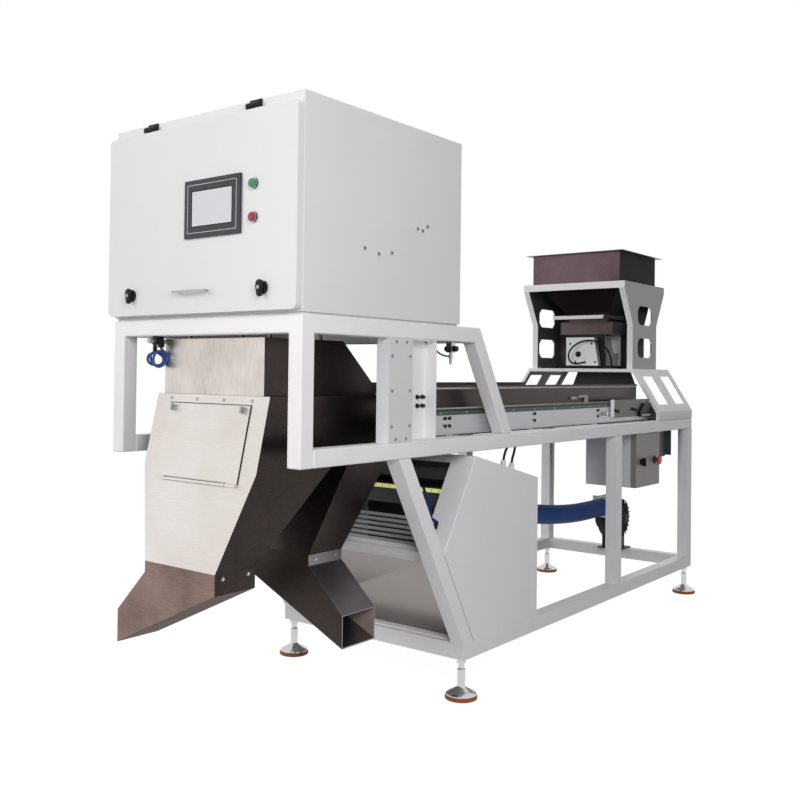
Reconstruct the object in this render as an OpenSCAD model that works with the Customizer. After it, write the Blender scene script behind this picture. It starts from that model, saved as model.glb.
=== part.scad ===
// Belt-type optical colour sorter, millimetres, +Z up.
// The discharge end with the cabinet door faces -Y, the feed hopper is at +Y.

/* [Frame] */
// Side of the square tube the frame is welded from
tube = 50; // [40:1:60]
// Width over the frame
frame_w = 800; // [760:5:900]
// Length of the frame from the front posts to the rear posts
frame_l = 2740; // [2700:10:3000]
// Height of the top of the long side rails
rail_top = 846; // [830:1:880]
// Height of the top of the head frame
beam_top = 1200; // [1180:5:1260]
// Length of the top ring of the head frame
head_l = 842; // [830:1:880]
// How far back the slanted rear posts lean
slant_run = 210; // [150:5:240]
// Where the front of each diagonal strut meets the side rail
strut_top_y = 413; // [400:1:430]
// How far back each strut leans on its way down
strut_run = 351; // [340:1:370]
// Height of the top of the bottom rails
base_top = 179; // [170:1:200]
// Distance of the middle posts ahead of the frame's rear
mid_post_back = 845; // [740:5:1040]

/* [Levelling feet] */
// Diameter of the rubber pad
pad_d = 106; // [80:1:120]
// Thickness of the rubber pad
pad_t = 12; // [8:1:16]
// Height of the chromed cone above the pad
foot_cone_h = 30; // [20:1:40]
// Diameter of the threaded stem
stem_d = 20; // [16:1:24]
// Length of stem inside the frame
stem_in = 40; // [25:1:45]

/* [Cabinet] */
// Depth of the cabinet
cab_d = 723; // [680:1:760]
// Height of the cabinet above its plinth
cab_h = 576; // [500:1:640]
// Sheet thickness of the cabinet
cab_wall = 3; // [2:0.5:4]
// Height of the recessed plinth under the cabinet
plinth_h = 6; // [4:1:10]
// How far the plinth is set back
plinth_in = 8; // [5:1:15]
// Width of the frame left around the door opening
door_lip = 26; // [20:1:34]
// Thickness of the door pan
door_t = 22; // [18:1:30]
// Gap between the door and the cabinet
door_gap = 2; // [1:0.5:4]
// Distance of the door's top edge below the cabinet's top
door_drop = 30; // [26:1:40]
// Distance of the door's bottom edge above the head frame
door_lift = 10; // [6:1:20]
// Corner radius of the door
door_r = 18; // [8:1:30]
// Width of one door hinge
hinge_w = 46; // [40:1:80]
// Distance of each door hinge from the middle
hinge_x = 220; // [150:5:300]
// Diameter of the door hinge pins
hinge_pin_d = 8; // [6:0.5:10]

/* [Operator panel] */
// Width of the touch screen's bezel
hmi_w = 229; // [200:1:260]
// Height of the touch screen's bezel
hmi_h = 163; // [140:1:190]
// Thickness of the bezel in front of the door
hmi_t = 8; // [5:1:12]
// Distance of the bezel's middle from the door's middle
hmi_x = 79; // [40:1:90]
// Height of the bezel's middle above the head frame
hmi_z = 302; // [250:1:330]
// Width of the bezel around the glass
hmi_rim = 30; // [20:1:36]
// Diameter of the push buttons
button_d = 24; // [18:1:26]
// Diameter of the rings around the push buttons
button_ring_d = 31; // [28:1:34]
// Distance of the push buttons from the door's middle
button_x = 240; // [225:1:260]
// Height of the red button above the head frame
button_z = 260; // [220:1:280]
// Distance between the two push buttons
button_pitch = 90; // [60:1:120]
// Travel of the push buttons
button_travel = 4; // [2:0.5:5]
// Distance of each door latch from the middle
latch_x = 280; // [200:5:340]
// Height of the latches and handle above the head frame
latch_z = 70; // [62:1:90]
// Length of the pull handle
handle_w = 142; // [100:1:180]

/* [Sorting chamber] */
// Distance of the chamber's side pans from the front
pan_y = 363; // [350:1:375]
// Length of the side pans
pan_l = 237; // [200:1:250]
// Depth of the side pans
pan_depth = 45; // [30:1:47]
// Sheet thickness of the side pans
pan_wall = 3; // [2:0.5:4]
// Length of the screwed cover on each side pan
cover_l = 113; // [90:1:130]
// Thickness of the screwed cover
cover_t = 2; // [1.5:0.5:3]
// Height of the air nozzle bar above the side rails
nozzle_lift = 114; // [110:1:125]

/* [Chutes] */
// Sheet thickness of the chutes
chute_wall = 3; // [2:0.5:4]
// Width of the chute box
chute_w = 478; // [440:2:560]
// Height of the chute box's top
chute_top = 980; // [960:1:1000]
// Height at which the chutes start to narrow
chute_knee = 772; // [740:1:800]
// Height of the joint with the spouts
spout_top = 502; // [480:1:530]
// Width of the spout's collar
spout_w = 300; // [260:2:340]
// Depth of the spouts, front to back
spout_d = 148; // [120:1:165]
// How far the accept spout reaches sideways from the middle
accept_reach = 275; // [240:1:300]
// How far the reject spout reaches sideways from the middle
reject_reach = 286; // [240:1:300]
// Height of the spout's lower lip
spout_low = 247; // [230:1:260]
// Height of the spout's mouth
spout_mouth = 97; // [80:1:110]
// Distance of the chute box's top from the front of the frame
chute_y = 47; // [40:1:60]
// How far the front panel leans forward per unit of height
chute_lean = 0.228; // [0.15:0.001:0.23]
// Distance of the chute box's rear edge from the front of the frame
chute_rear = 560; // [540:1:565]
// Distance of the accept chute's rear edge from the front of the frame
divider_y = 300; // [280:1:310]
// Distance of the reject chute's front edge from the front of the frame
reject_top_y = 372; // [360:1:385]
// Distance of the reject spout from the front of the frame
reject_y = 303; // [295:1:320]
// Width of the hood on top of the chute box
hood_w = 426; // [380:2:436]
// Height of the hood above the chute box
hood_h = 163; // [140:1:168]
// Width of the inspection door
hatch_w = 346; // [280:2:380]
// Length of the inspection door along the front panel
hatch_l = 222; // [180:1:240]
// Thickness of the inspection door
hatch_t = 3; // [2:0.5:4]
// Distance of the inspection door below the chute box's top, along the panel
hatch_drop = 28; // [24:1:40]
// Diameter of the inspection door's knobs
knob_d = 20; // [14:1:26]

/* [Lower optics box] */
// Sheet thickness of the lower box
box_wall = 3; // [2:0.5:4]
// Gap between the lower box and the struts
box_gap = 4; // [2:0.5:8]
// Height of the lower box's front nose
box_nose_z = 485; // [460:1:510]
// Height of the lower box's front top edge
box_top_z = 781; // [760:1:790]
// Distance of the lower box's front top edge from the front
box_top_y = 826; // [800:1:850]
// Distance of the lower box's rear wall from the front
box_rear = 1238; // [1200:1:1400]
// Height of the lower box's rear top edge
box_rear_z = 679; // [620:1:740]
// Width of the window border on the box's sloping front
box_border = 90; // [60:1:140]
// Diameter of the air hose
hose_d = 86; // [60:1:90]

/* [Conveyor] */
// Width of the belt
belt_w = 580; // [520:2:600]
// Thickness of the belt
belt_t = 3; // [2:0.5:4]
// Radius of the two drums
drum_r = 36; // [30:0.5:36]
// Diameter of the drum shafts
shaft_d = 24; // [20:1:28]
// Distance of the head drum from the front
head_drum_y = 606; // [604:1:615]
// Distance of the tail drum ahead of the frame's rear
tail_back = 300; // [295:1:340]
// Height of the conveyor's side profiles
profile_h = 64; // [56:1:70]
// Thickness of the conveyor's side profiles
profile_t = 25; // [20:1:28]
// Height of the profiles above the side rails
profile_lift = 5; // [3:1:10]
// Height of the green wear strips
strip_h = 14; // [10:1:20]
// Width of the green wear strips
strip_w = 50; // [46:1:54]
// Height of the belt's side guards
guard_h = 74; // [50:1:90]
// Sheet thickness of the guards
guard_t = 2; // [1.5:0.5:3]
// Height of the black seal on each guard
seal_h = 7; // [4:1:10]
// Radius of the drive pulleys
pulley_r = 26; // [22:1:26]
// Distance of the drive motor's shaft behind the tail drum
motor_back = 110; // [100:1:120]
// Drop from the drum to the drive motor's shaft
motor_drop = 172; // [165:1:190]

/* [Feed unit] */
// Width of the hopper
hopper_w = 456; // [400:2:480]
// Depth of the hopper, front to back
hopper_d = 405; // [360:1:420]
// Height of the hopper's straight walls
hopper_h = 144; // [100:1:200]
// Width of the hopper's rim
hopper_rim = 25; // [15:1:30]
// Sheet thickness of the hopper
hopper_wall = 3; // [2:0.5:4]
// Side of the hopper's outlet
outlet_w = 240; // [180:2:260]
// Distance of the hopper's middle ahead of the frame's rear
feed_back = 256; // [245:1:270]
// Width over the stand's side plates
stand_w = 528; // [510:2:540]
// Height of the stand's top
stand_top = 1484; // [1440:1:1520]
// Depth of the stand's top plate
stand_top_d = 458; // [440:1:480]
// Depth of the stand's legs
stand_leg_d = 274; // [250:1:300]
// Height of the stand's legs where they start to spread
stand_knee = 1290; // [1270:1:1310]
// Height of the stand's base plate
base_plate_z = 1080; // [1060:1:1100]
// Height of the base's lower flange above the side rails
base_skirt = 39; // [25:1:50]
// Sheet thickness of the stand
stand_wall = 5; // [4:0.5:8]
// Width of the folded edge around the base's front
stand_lip = 16; // [10:1:17]
// Width of the feeder trough
trough_w = 266; // [240:2:300]
// Height of the feeder trough
trough_h = 18; // [14:1:30]
// Height of the trough's floor above the base plate
trough_lift = 239; // [230:1:250]
// Width of the box that carries the tray
mount_w = 278; // [260:2:300]
// Height of the box that carries the tray
mount_h = 60; // [50:1:70]
// Height of the neck between the box and the tray
neck_h = 13; // [10:1:16]

/* [Control box] */
// Width of the control box along the frame
ctrl_w = 260; // [220:1:300]
// Depth of the control box across the frame
ctrl_d = 217; // [160:1:260]
// Height of the control box
ctrl_h = 244; // [200:1:300]
// Thickness of the control box's door
ctrl_door_t = 25; // [15:1:30]
// Distance of the control box's front ahead of the frame's rear
ctrl_back = 573; // [560:1:640]
// Distance of the door's face inside the frame's side
ctrl_in = 35; // [34:1:60]
// Diameter of the emergency stop's head
estop_d = 40; // [30:1:45]

/* [Blower] */
// Radius of the blower's casing
blower_r = 96; // [92:1:98]
// Width of the blower's casing
blower_w = 84; // [70:1:100]
// Distance of the blower and its hose from the frame's middle
blower_x = 26; // [0:1:60]
// Distance of the blower's axis ahead of the frame's rear
blower_back = 70; // [70:1:140]
// Height of the blower's axis
blower_z = 332; // [325:1:345]

/* [Clearances] */
// Radial clearance of turning shafts
fit = 0.05; // [0.02:0.01:0.1]
// Gap between parts that move past each other
run_gap = 1; // [0.5:0.1:2]
// Gap between soft or curved faces that nearly touch
soft_gap = 0.3; // [0.2:0.05:0.5]

/* [Hidden] */
$fn = 48;
eps = 0.01;
hw = frame_w / 2;
rail_bot = rail_top - tube;
beam_bot = beam_top - tube;
base_bot = base_top - tube;
spout_front = chute_y - chute_lean * (chute_top - spout_top);
y_mid = (frame_l - tube / 2 + pad_d / 2 + spout_front) / 2;
foot_y = strut_top_y + strut_run;
mid_post_y = frame_l - mid_post_back;
feed_y = frame_l - feed_back;
ctrl_y = frame_l - ctrl_back;
blower_y = frame_l - blower_back;
tail_drum_y = frame_l - tail_back;
tilt = atan(strut_run / (rail_bot - base_top));
strut_deep = tube / cos(tilt);
slant_deep = tube / cos(atan(slant_run / (beam_top - rail_top)));

// Cabinet and door levels, with the door's front face and hinge axis
cab_bot = beam_top + plinth_h;
cab_top = cab_bot + cab_h;
door_top = cab_top - door_drop;
door_bot = beam_top + door_lift;
door_skin = 3;
door_rim = 20;
door_face = -door_gap - door_t;
hinge_y = -door_gap - door_t / 2;
hinge_z = door_top + 12;
knuckle_r = hinge_pin_d;
latch_shaft_r = 8;
latch_at = beam_top + latch_z;

// Conveyor levels
pan_in = hw - cover_t - pan_depth;
profile_bot = rail_top + profile_lift;
profile_top = profile_bot + profile_h;
strip_top = profile_top + strip_h;
rail_in = hw - tube;
drum_z = strip_top - drum_r;
drum_end = 45;
loop_r = drum_r + soft_gap;
guard_x = rail_in - strip_w - 4;
guard_front = pan_y + pan_l + 12;
pulley_x = belt_w / 2 + 7;
pulley_w = 22;
motor_y = tail_drum_y + motor_back;
motor_z = drum_z - motor_drop;
motor_shaft_r = 10;

// Chute outlines
lean = atan(chute_lean);
hood_front = chute_y + 2;
hood_rear = chute_rear - 29;
hood_top_d = 326;
hood_foot = 22;
function chute_front(z) = chute_y - chute_lean * (chute_top - z);

// Lower box outline in Y and Z
nose = [strut_top_y + strut_deep + (rail_bot - box_nose_z) * tan(tilt) + box_gap, box_nose_z];
crest = [box_top_y, box_top_z];
heel_y = foot_y + strut_deep + box_gap;
box_x = hw - 2;
box_slope = (box_top_z - box_rear_z) / (box_rear - box_top_y);
hose_z = 532;

// Feed unit levels
feed_base_front = feed_y - 149;
base_top_w = stand_w + 26;
trough_z = base_plate_z + trough_lift;
funnel_z = trough_z + trough_h + 13;
drive_face = feed_y - 112;
trough_front = feed_y - 173;
mount_z = trough_z - neck_h - mount_h;

// Control box levels
ctrl_face = hw - ctrl_in;
ctrl_x = ctrl_face - ctrl_door_t - run_gap;
ctrl_bot = rail_bot - ctrl_h;
ctrl_lug = 4;
ctrl_axis_x = ctrl_face - ctrl_door_t / 2;
ctrl_axis_y = ctrl_y + ctrl_w + 8;
isolator_at = [ctrl_y + 53, ctrl_bot + 113];
estop_at = [ctrl_y + 205, ctrl_bot + 113];

// Blower port
port_z = blower_z + 66;
port_y = blower_y - 128;

// Routes of the flexible lines: the hose as shares of its run and drop, the cable from the feeder drive
hose_shape = [[0, 0], [0.044, 0], [0.094, 0.04], [0.153, 0.11], [0.22, 0.22], [0.295, 0.36], [0.379, 0.52],
    [0.463, 0.67], [0.547, 0.79], [0.631, 0.88], [0.715, 0.95], [0.799, 0.99], [0.874, 1], [0.95, 1], [1, 1]];
hose_from = box_rear + 10;
hose_route = [for (p = hose_shape)
    [blower_x, hose_from + p[0] * (port_y - hose_from), hose_z + p[1] * (port_z - hose_z)]];
cable_shape = [[10, 0, 32], [9.95, -8, 32], [4, -15, 30], [-20, -20, 24], [-48, -22, 28], [-64, -22, 46],
    [-66, -22, 70], [-54, -22, 94], [-32, -22, 114], [-6, -22, 127], [24, -22, 134], [56, -22, 134],
    [86, -22, 127], [112, -22, 113], [134, -22, 92], [148, -22, 68], [156, -22, 42], [158, -22, 18],
    [158, -22, 0]];
cable_route = [for (p = cable_shape) [p[0], drive_face + p[1], base_plate_z + p[2]]];
cable_d = 8;
coil_at = [-217, tube / 2, beam_bot - 66];
coil_r = 28;
coil_h = 26;
line_d = 8;

// Shared shapes
module place() {
    translate([0, -y_mid, 0]) children();
}

module both_sides() {
    children();
    mirror([1, 0, 0]) children();
}

module bar(x0, x1, y0, y1, z0, z1) {
    translate([x0, y0, z0]) cube([x1 - x0, y1 - y0, z1 - z0]);
}

module prism_x(points, x0, x1) {
    translate([x0, 0, 0]) rotate([90, 0, 90]) linear_extrude(x1 - x0) polygon(points);
}

module prism_y(points, y0, y1) {
    translate([0, y1, 0]) rotate([90, 0, 0]) linear_extrude(y1 - y0) polygon(points);
}

module rod_x(r, x0, x1, y, z) {
    translate([x0, y, z]) rotate([0, 90, 0]) cylinder(r = r, h = x1 - x0);
}

module rod_y(r, y0, y1, x, z) {
    translate([x, y0, z]) rotate([-90, 0, 0]) cylinder(r = r, h = y1 - y0);
}

module rod_z(r, z0, z1, x, y) {
    translate([x, y, z0]) cylinder(r = r, h = z1 - z0);
}

// Solid between two rectangles [x half-width, y front, y rear] at heights z0 and z1
module taper(low, z0, high, z1) {
    function ring(s, z) = [[-s[0], s[1], z], [s[0], s[1], z], [s[0], s[2], z], [-s[0], s[2], z]];
    polyhedron(concat(ring(low, z0), ring(high, z1)),
        [[0, 1, 2, 3], [7, 6, 5, 4], [4, 5, 1, 0], [5, 6, 2, 1], [6, 7, 3, 2], [7, 4, 0, 3]]);
}

// Flat loop around two equal wheels, axis along X
module loop(r, t, from, to, x0, x1) {
    run = norm(to - from);
    turn = atan2(to[1] - from[1], to[0] - from[0]);
    translate([0, from[0], from[1]]) rotate([turn, 0, 0]) difference() {
        union() {
            rod_x(r + t, x0, x1, 0, 0);
            rod_x(r + t, x0, x1, run, 0);
            bar(x0, x1, 0, run, -r - t, r + t);
        }
        rod_x(r, x0 - 1, x1 + 1, 0, 0);
        rod_x(r, x0 - 1, x1 + 1, run, 0);
        bar(x0 - 1, x1 + 1, 0, run, -r, r);
    }
}

// Round tube swept along a route
module sweep(route, d, sides, ref) {
    last = len(route) - 1;
    function unit(v) = v / norm(v);
    function along(i) = unit(route[min(i + 1, last)] - route[max(i - 1, 0)]);
    function across(i) = unit(cross(along(i), ref));
    points = [for (i = [0:last]) for (k = [0:sides - 1]) let (a = 360 * k / sides)
        route[i] + d / 2 * (cos(a) * across(i) + sin(a) * cross(across(i), along(i)))];
    walls = [for (i = [0:last - 1]) for (k = [0:sides - 1]) let (n = (k + 1) % sides)
        [i * sides + k, i * sides + n, (i + 1) * sides + n, (i + 1) * sides + k]];
    ends = [[for (k = [0:sides - 1]) sides - 1 - k], [for (k = [0:sides - 1]) last * sides + k]];
    polyhedron(points, concat(walls, ends));
}

// Frame on the sloping front panel, d below the chute box's top, -Y facing out
module on_panel(d) {
    translate([0, chute_y - d * sin(lean), chute_top - d * cos(lean)]) rotate([-lean, 0, 0]) children();
}

// Frame
module head_frame() {
    color("whitesmoke") place() {
        both_sides() {
            bar(rail_in, hw, 0, tube, rail_bot, beam_top);
            bar(rail_in, hw, 0, head_l, beam_bot, beam_top);
            prism_x([[head_l - slant_deep, beam_top], [head_l, beam_top],
                [head_l + slant_run, rail_top], [head_l + slant_run - slant_deep, rail_top]], rail_in, hw);
        }
        for (y = [0, head_l - tube]) bar(-hw, hw, y, y + tube, beam_bot, beam_top);
    }
}

module side_rails() {
    color("whitesmoke") place() both_sides() bar(rail_in, hw, tube, frame_l, rail_bot, rail_top);
}

module foot_places() {
    for (x = [-1, 1]) for (y = [foot_y, frame_l - tube])
        translate([x * (hw - tube / 2), y + tube / 2, 0]) children();
}

module lower_frame() {
    color("whitesmoke") place() difference() {
        union() {
            both_sides() {
                prism_x([[strut_top_y, rail_bot], [strut_top_y + strut_deep, rail_bot],
                    [foot_y + strut_deep, base_top], [foot_y, base_top]], rail_in, hw);
                bar(rail_in, hw, foot_y, frame_l, base_bot, base_top);
                for (y = [mid_post_y, frame_l - tube])
                    bar(rail_in, hw, y, y + tube, base_top - eps, rail_bot);
            }
            for (y = [foot_y, frame_l - tube]) bar(-hw, hw, y, y + tube, base_bot, base_top);
            bar(-rail_in, rail_in, frame_l - tube, frame_l, rail_bot, rail_top);
        }
        foot_places() rod_z(stem_d / 2 + fit, base_bot - 1, base_bot + stem_in + 2, 0, 0);
    }
}

module foot() {
    rod_z(pad_d / 2, 0, pad_t, 0, 0);
    translate([0, 0, pad_t]) cylinder(r1 = pad_d / 2 - 3, r2 = stem_d * 0.8, h = foot_cone_h);
    rod_z(stem_d / 2, pad_t, base_bot + stem_in, 0, 0);
    translate([0, 0, base_bot - run_gap - 14]) cylinder(r = stem_d * 0.85, h = 14, $fn = 6);
}

module foot_at(x, y) {
    color("silver") place() translate([x * (hw - tube / 2), y + tube / 2, 0]) foot();
}

module foot_front_left() {
    foot_at(-1, foot_y);
}

module foot_front_right() {
    foot_at(1, foot_y);
}

module foot_rear_left() {
    foot_at(-1, frame_l - tube);
}

module foot_rear_right() {
    foot_at(1, frame_l - tube);
}

// Cabinet
camera_slot = [540, 640];
module cabinet_shell() {
    color("whitesmoke") place() {
        difference() {
            bar(-hw, hw, 0, cab_d, cab_bot, cab_top);
            bar(-hw + cab_wall, hw - cab_wall, cab_wall, cab_d - cab_wall,
                cab_bot + cab_wall, cab_top - cab_wall);
            bar(-hw + door_lip, hw - door_lip, -1, cab_wall + 1, door_bot + door_lip, door_top - door_lip);
            bar(-250, 250, camera_slot[0], camera_slot[1], cab_bot - 1, cab_bot + cab_wall + 1);
        }
        difference() {
            bar(-hw + plinth_in, hw - plinth_in, plinth_in, cab_d - plinth_in, beam_top, cab_bot + eps);
            bar(-rail_in, rail_in, tube, cab_d - tube, beam_top - 1, cab_bot + 1);
        }
    }
}

cabinet_bolt_at = [[247, 196], [309, 186], [368, 195], [492, 281], [517, 278], [542, 293]];
pan_bolt_at = [[193, 130], [219, 130], [193, 103], [219, 103]];
head_h = 3;
module side_bolts() {
    color("dimgray") place() both_sides() {
        for (p = cabinet_bolt_at) rod_x(6, hw, hw + head_h, p[0], beam_top + p[1]);
        for (y = [pan_y + 14, pan_y + cover_l - 14]) for (z = [47, 151, 252])
            rod_x(5, hw, hw + head_h, y, rail_top + z);
        for (y = [pan_y + 34, pan_y + cover_l - 30]) for (z = [rail_top + 10, beam_bot - 10])
            rod_x(5, hw, hw + head_h, y, z);
        for (p = pan_bolt_at)
            rod_x(7, pan_in + pan_wall, pan_in + pan_wall + 10, pan_y + p[0], rail_top + p[1]);
    }
}

module cabinet_hinges() {
    color("black") place() both_sides() difference() {
        union() {
            bar(hinge_x - hinge_w / 2, hinge_x + hinge_w / 2, -4, 0, door_top + 2, cab_top);
            rod_x(knuckle_r, hinge_x - hinge_w / 4, hinge_x + hinge_w / 4, hinge_y, hinge_z);
            bar(hinge_x - hinge_w / 4, hinge_x + hinge_w / 4, hinge_y, -3, hinge_z - 5, hinge_z + 5);
        }
        rod_x(hinge_pin_d / 2 + fit, hinge_x - hinge_w, hinge_x + hinge_w, hinge_y, hinge_z);
    }
}

module door_hinges() {
    gap = hinge_w / 4 + run_gap;
    color("black") place() both_sides() {
        rod_x(hinge_pin_d / 2, hinge_x - hinge_w / 2, hinge_x + hinge_w / 2, hinge_y, hinge_z);
        for (x = [hinge_x - hinge_w / 2, hinge_x + gap]) {
            rod_x(knuckle_r, x, x + hinge_w / 2 - gap, hinge_y, hinge_z);
            bar(x, x + hinge_w / 2 - gap, hinge_y - 6, hinge_y + 6, door_top, hinge_z);
        }
    }
}

module door_outline(inset, y0, y1) {
    x = hw - inset;
    z0 = door_bot + inset;
    z1 = door_top - inset;
    bar(-x + door_r, x - door_r, y0, y1, z0, z1);
    bar(-x, x, y0, y1, z0 + door_r, z1 - door_r);
    for (s = [-1, 1]) for (z = [z0 + door_r, z1 - door_r]) rod_y(door_r, y0, y1, s * (x - door_r), z);
}

hmi_mid = beam_top + hmi_z;
hmi_tuck = 12;
module hmi_block(inset, y0, y1) {
    bar(hmi_x - hmi_w / 2 + inset, hmi_x + hmi_w / 2 - inset, y0, y1,
        hmi_mid - hmi_h / 2 + inset, hmi_mid + hmi_h / 2 - inset);
}

module button_places() {
    for (z = [0, button_pitch]) translate([button_x, 0, beam_top + button_z + z]) children();
}

module door_panel() {
    color("whitesmoke") place() difference() {
        door_outline(0, door_face, -door_gap);
        door_outline(door_rim, door_face + door_skin, -door_gap + 1);
        hmi_block(hmi_tuck, door_face - 1, 0);
        button_places() rod_y(button_d / 2 + fit, door_face - 1, 0, 0, 0);
        both_sides() rod_y(latch_shaft_r + fit, door_face - 1, 0, latch_x, latch_at);
    }
}

module door_handle() {
    color("silver") place() {
        for (s = [-1, 1]) rod_y(3, door_face - 16, door_face, s * (handle_w / 2 - 12), latch_at + 2);
        bar(-handle_w / 2, handle_w / 2, door_face - 22, door_face - 15, latch_at - 1, latch_at + 5);
    }
}

glass_in = 2;
module panel_bezels() {
    color("dimgray") place() {
        difference() {
            union() {
                hmi_block(0, door_face - hmi_t, door_face);
                hmi_block(hmi_tuck + run_gap, door_face - eps, 20);
            }
            hmi_block(hmi_rim, door_face - hmi_t - 1, door_face - hmi_t + glass_in);
        }
        button_places() difference() {
            rod_y(button_ring_d / 2, door_face - 6, door_face, 0, 0);
            rod_y(button_d / 2 + fit, door_face - 7, door_face + 1, 0, 0);
        }
    }
}

module hmi_screen() {
    color("gainsboro") place() hmi_block(hmi_rim, door_face - hmi_t + 0.5, door_face - hmi_t + glass_in);
}

module push_button(z) {
    place() rod_y(button_d / 2, door_face - 6 - button_travel - 3, door_face + 12, button_x, beam_top + z);
}

module button_green() {
    color("green") push_button(button_z + button_pitch);
}

module button_red() {
    color("firebrick") push_button(button_z);
}

module latch(x) {
    front = door_face - soft_gap;
    color("black") place() translate([x, 0, latch_at]) {
        rod_y(latch_shaft_r, front - 1, door_face + door_skin + 8, 0, 0);
        rod_y(20, front - 7, front, 0, 0);
        bar(-7, 7, front - 20, front - 6, -20, 24);
        bar(-8, 8, door_face + door_skin + run_gap, door_face + door_skin + 6, -20, 8);
    }
}

module latch_left() {
    latch(-latch_x);
}

module latch_right() {
    latch(latch_x);
}

lens_tilt = 40;
module cameras() {
    slot_mid = (camera_slot[0] + camera_slot[1]) / 2;
    color("dimgray") place() {
        bar(-60, 60, slot_mid - 70, slot_mid + 70, cab_bot + cab_wall, cab_bot + cab_wall + 200);
        rod_z(26, cab_bot - 20, cab_bot + cab_wall + 1, 0, slot_mid);
        bar(-60, 60, box_rear - 240, box_rear - 100, base_top + box_wall, base_top + 200);
        translate([0, box_rear - 200, base_top + 180]) rotate([lens_tilt, 0, 0]) cylinder(r = 26, h = 60);
    }
}

// Sorting chamber
module side_pans() {
    color("sienna") place() both_sides() difference() {
        bar(pan_in, hw - cover_t, pan_y, pan_y + pan_l, rail_top, beam_bot);
        bar(pan_in + pan_wall, hw, pan_y + pan_wall, pan_y + pan_l - pan_wall,
            rail_top + pan_wall, beam_bot - pan_wall);
    }
}

module cover_plates() {
    color("peru") place() both_sides()
        bar(hw - cover_t, hw, pan_y, pan_y + cover_l, rail_top + 1, beam_bot - 1);
}

nozzle_bar = 24;
nozzle_count = 24;
valve_count = 12;
module ejector_bar() {
    z = rail_top + nozzle_lift;
    y = chute_rear + 4;
    color("dimgray") place() {
        bar(-pan_in, pan_in, y, y + nozzle_bar, z, z + nozzle_bar);
        for (i = [0:nozzle_count - 1])
            rod_z(3, z - 8, z + 1, (i - (nozzle_count - 1) / 2) * chute_w / nozzle_count, y + nozzle_bar / 2);
        for (i = [0:valve_count - 1])
            translate([(i - (valve_count - 1) / 2) * chute_w / valve_count - 15, y + nozzle_bar - eps, z])
                cube([30, 24, nozzle_bar]);
    }
}

// Chutes
module chute_hood() {
    top = chute_top + hood_h;
    knee = hood_front + hood_top_d;
    color("dimgray") place() {
        difference() {
            prism_x([[hood_front, chute_top], [hood_front, top], [knee, top],
                [hood_rear, chute_top + hood_foot], [hood_rear, chute_top]], -hood_w / 2, hood_w / 2);
            prism_x([[hood_front + chute_wall, chute_top - 1], [hood_front + chute_wall, top - chute_wall],
                [knee - chute_wall / 2, top - chute_wall],
                [hood_rear - chute_wall, chute_top + hood_foot - chute_wall / 2],
                [hood_rear - chute_wall, chute_top - 1]], -hood_w / 2 + chute_wall, hood_w / 2 - chute_wall);
        }
        for (x = [-1, 1]) for (y = [60, 270])
            rod_z(6, top - eps, cab_bot, x * hood_w * 0.4, hood_front + y);
    }
}

hatch_pin_r = 3;
hatch_knuckle_r = 5;
hatch_axis = -6;
hatch_ear = 40;
hatch_edge = 20;
module accept_chute() {
    w = chute_wall;
    half = chute_w / 2;
    ear_x = hatch_w / 2 - hatch_ear - run_gap;
    color("lightgray") place() difference() {
        union() {
            prism_x([[chute_front(chute_knee), chute_knee], [chute_y, chute_top], [chute_rear, chute_top],
                [chute_rear, chute_knee]], -half, half);
            taper([spout_w / 2, spout_front, spout_front + spout_d], spout_top,
                [half, chute_front(chute_knee), divider_y], chute_knee);
            on_panel(hatch_drop + hatch_l) {
                rod_x(hatch_knuckle_r, -ear_x, ear_x, hatch_axis, 0);
                bar(-ear_x, ear_x, hatch_axis, 1, -hatch_knuckle_r, 0);
            }
        }
        on_panel(hatch_drop + hatch_l) {
            rod_x(hatch_pin_r + fit, -half, half, hatch_axis, 0);
            bar(-hatch_w / 2 + hatch_edge, hatch_w / 2 - hatch_edge, -1, w * 2,
                hatch_edge, hatch_l - hatch_edge);
        }
        prism_x([[chute_front(chute_knee + w) + w, chute_knee + w], [chute_y + w, chute_top - w],
            [chute_rear + 1, chute_top - w], [chute_rear + 1, chute_knee + w]], -half + w, half - w);
        taper([spout_w / 2 - w, spout_front + w, spout_front + spout_d - w], spout_top - eps,
            [half - w, chute_front(chute_knee) + w, divider_y - w], chute_knee + w + eps);
        bar(-half + w, half - w, reject_top_y + w, chute_rear - w, chute_knee - 1, chute_knee + w + 1);
        bar(-hood_w / 2 + w, hood_w / 2 - w, hood_front + w, hood_rear - w, chute_top - w - 1, chute_top + 1);
    }
}

module reject_chute() {
    w = chute_wall;
    color("dimgray") place() difference() {
        taper([spout_w / 2, reject_y, reject_y + spout_d], spout_top,
            [chute_w / 2, reject_top_y, chute_rear], chute_knee);
        taper([spout_w / 2 - w, reject_y + w, reject_y + spout_d - w], spout_top - eps,
            [chute_w / 2 - w, reject_top_y + w, chute_rear - w], chute_knee + eps);
    }
}

collar_h = 59;
collar_short = 32;
module spout(y, reach) {
    w = chute_wall;
    k = w * 1.2;
    half = spout_w / 2;
    difference() {
        prism_y([[-half, spout_top], [half, spout_top], [half, spout_top - collar_h], [-reach, spout_low],
            [-reach, spout_low + spout_mouth], [-half, spout_top - collar_short]], y, y + spout_d);
        prism_y([[-half + w, spout_top + 1], [half - w, spout_top + 1], [half - w, spout_top - collar_h + k],
            [-reach - 1, spout_low + k], [-reach - 1, spout_low + spout_mouth - k],
            [-half + w, spout_top - collar_short - k]], y + w, y + spout_d - w);
    }
}

module accept_spout() {
    color("rosybrown") place() spout(spout_front, accept_reach);
}

module reject_spout() {
    color("rosybrown") place() mirror([1, 0, 0]) spout(reject_y, reject_reach);
}

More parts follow.
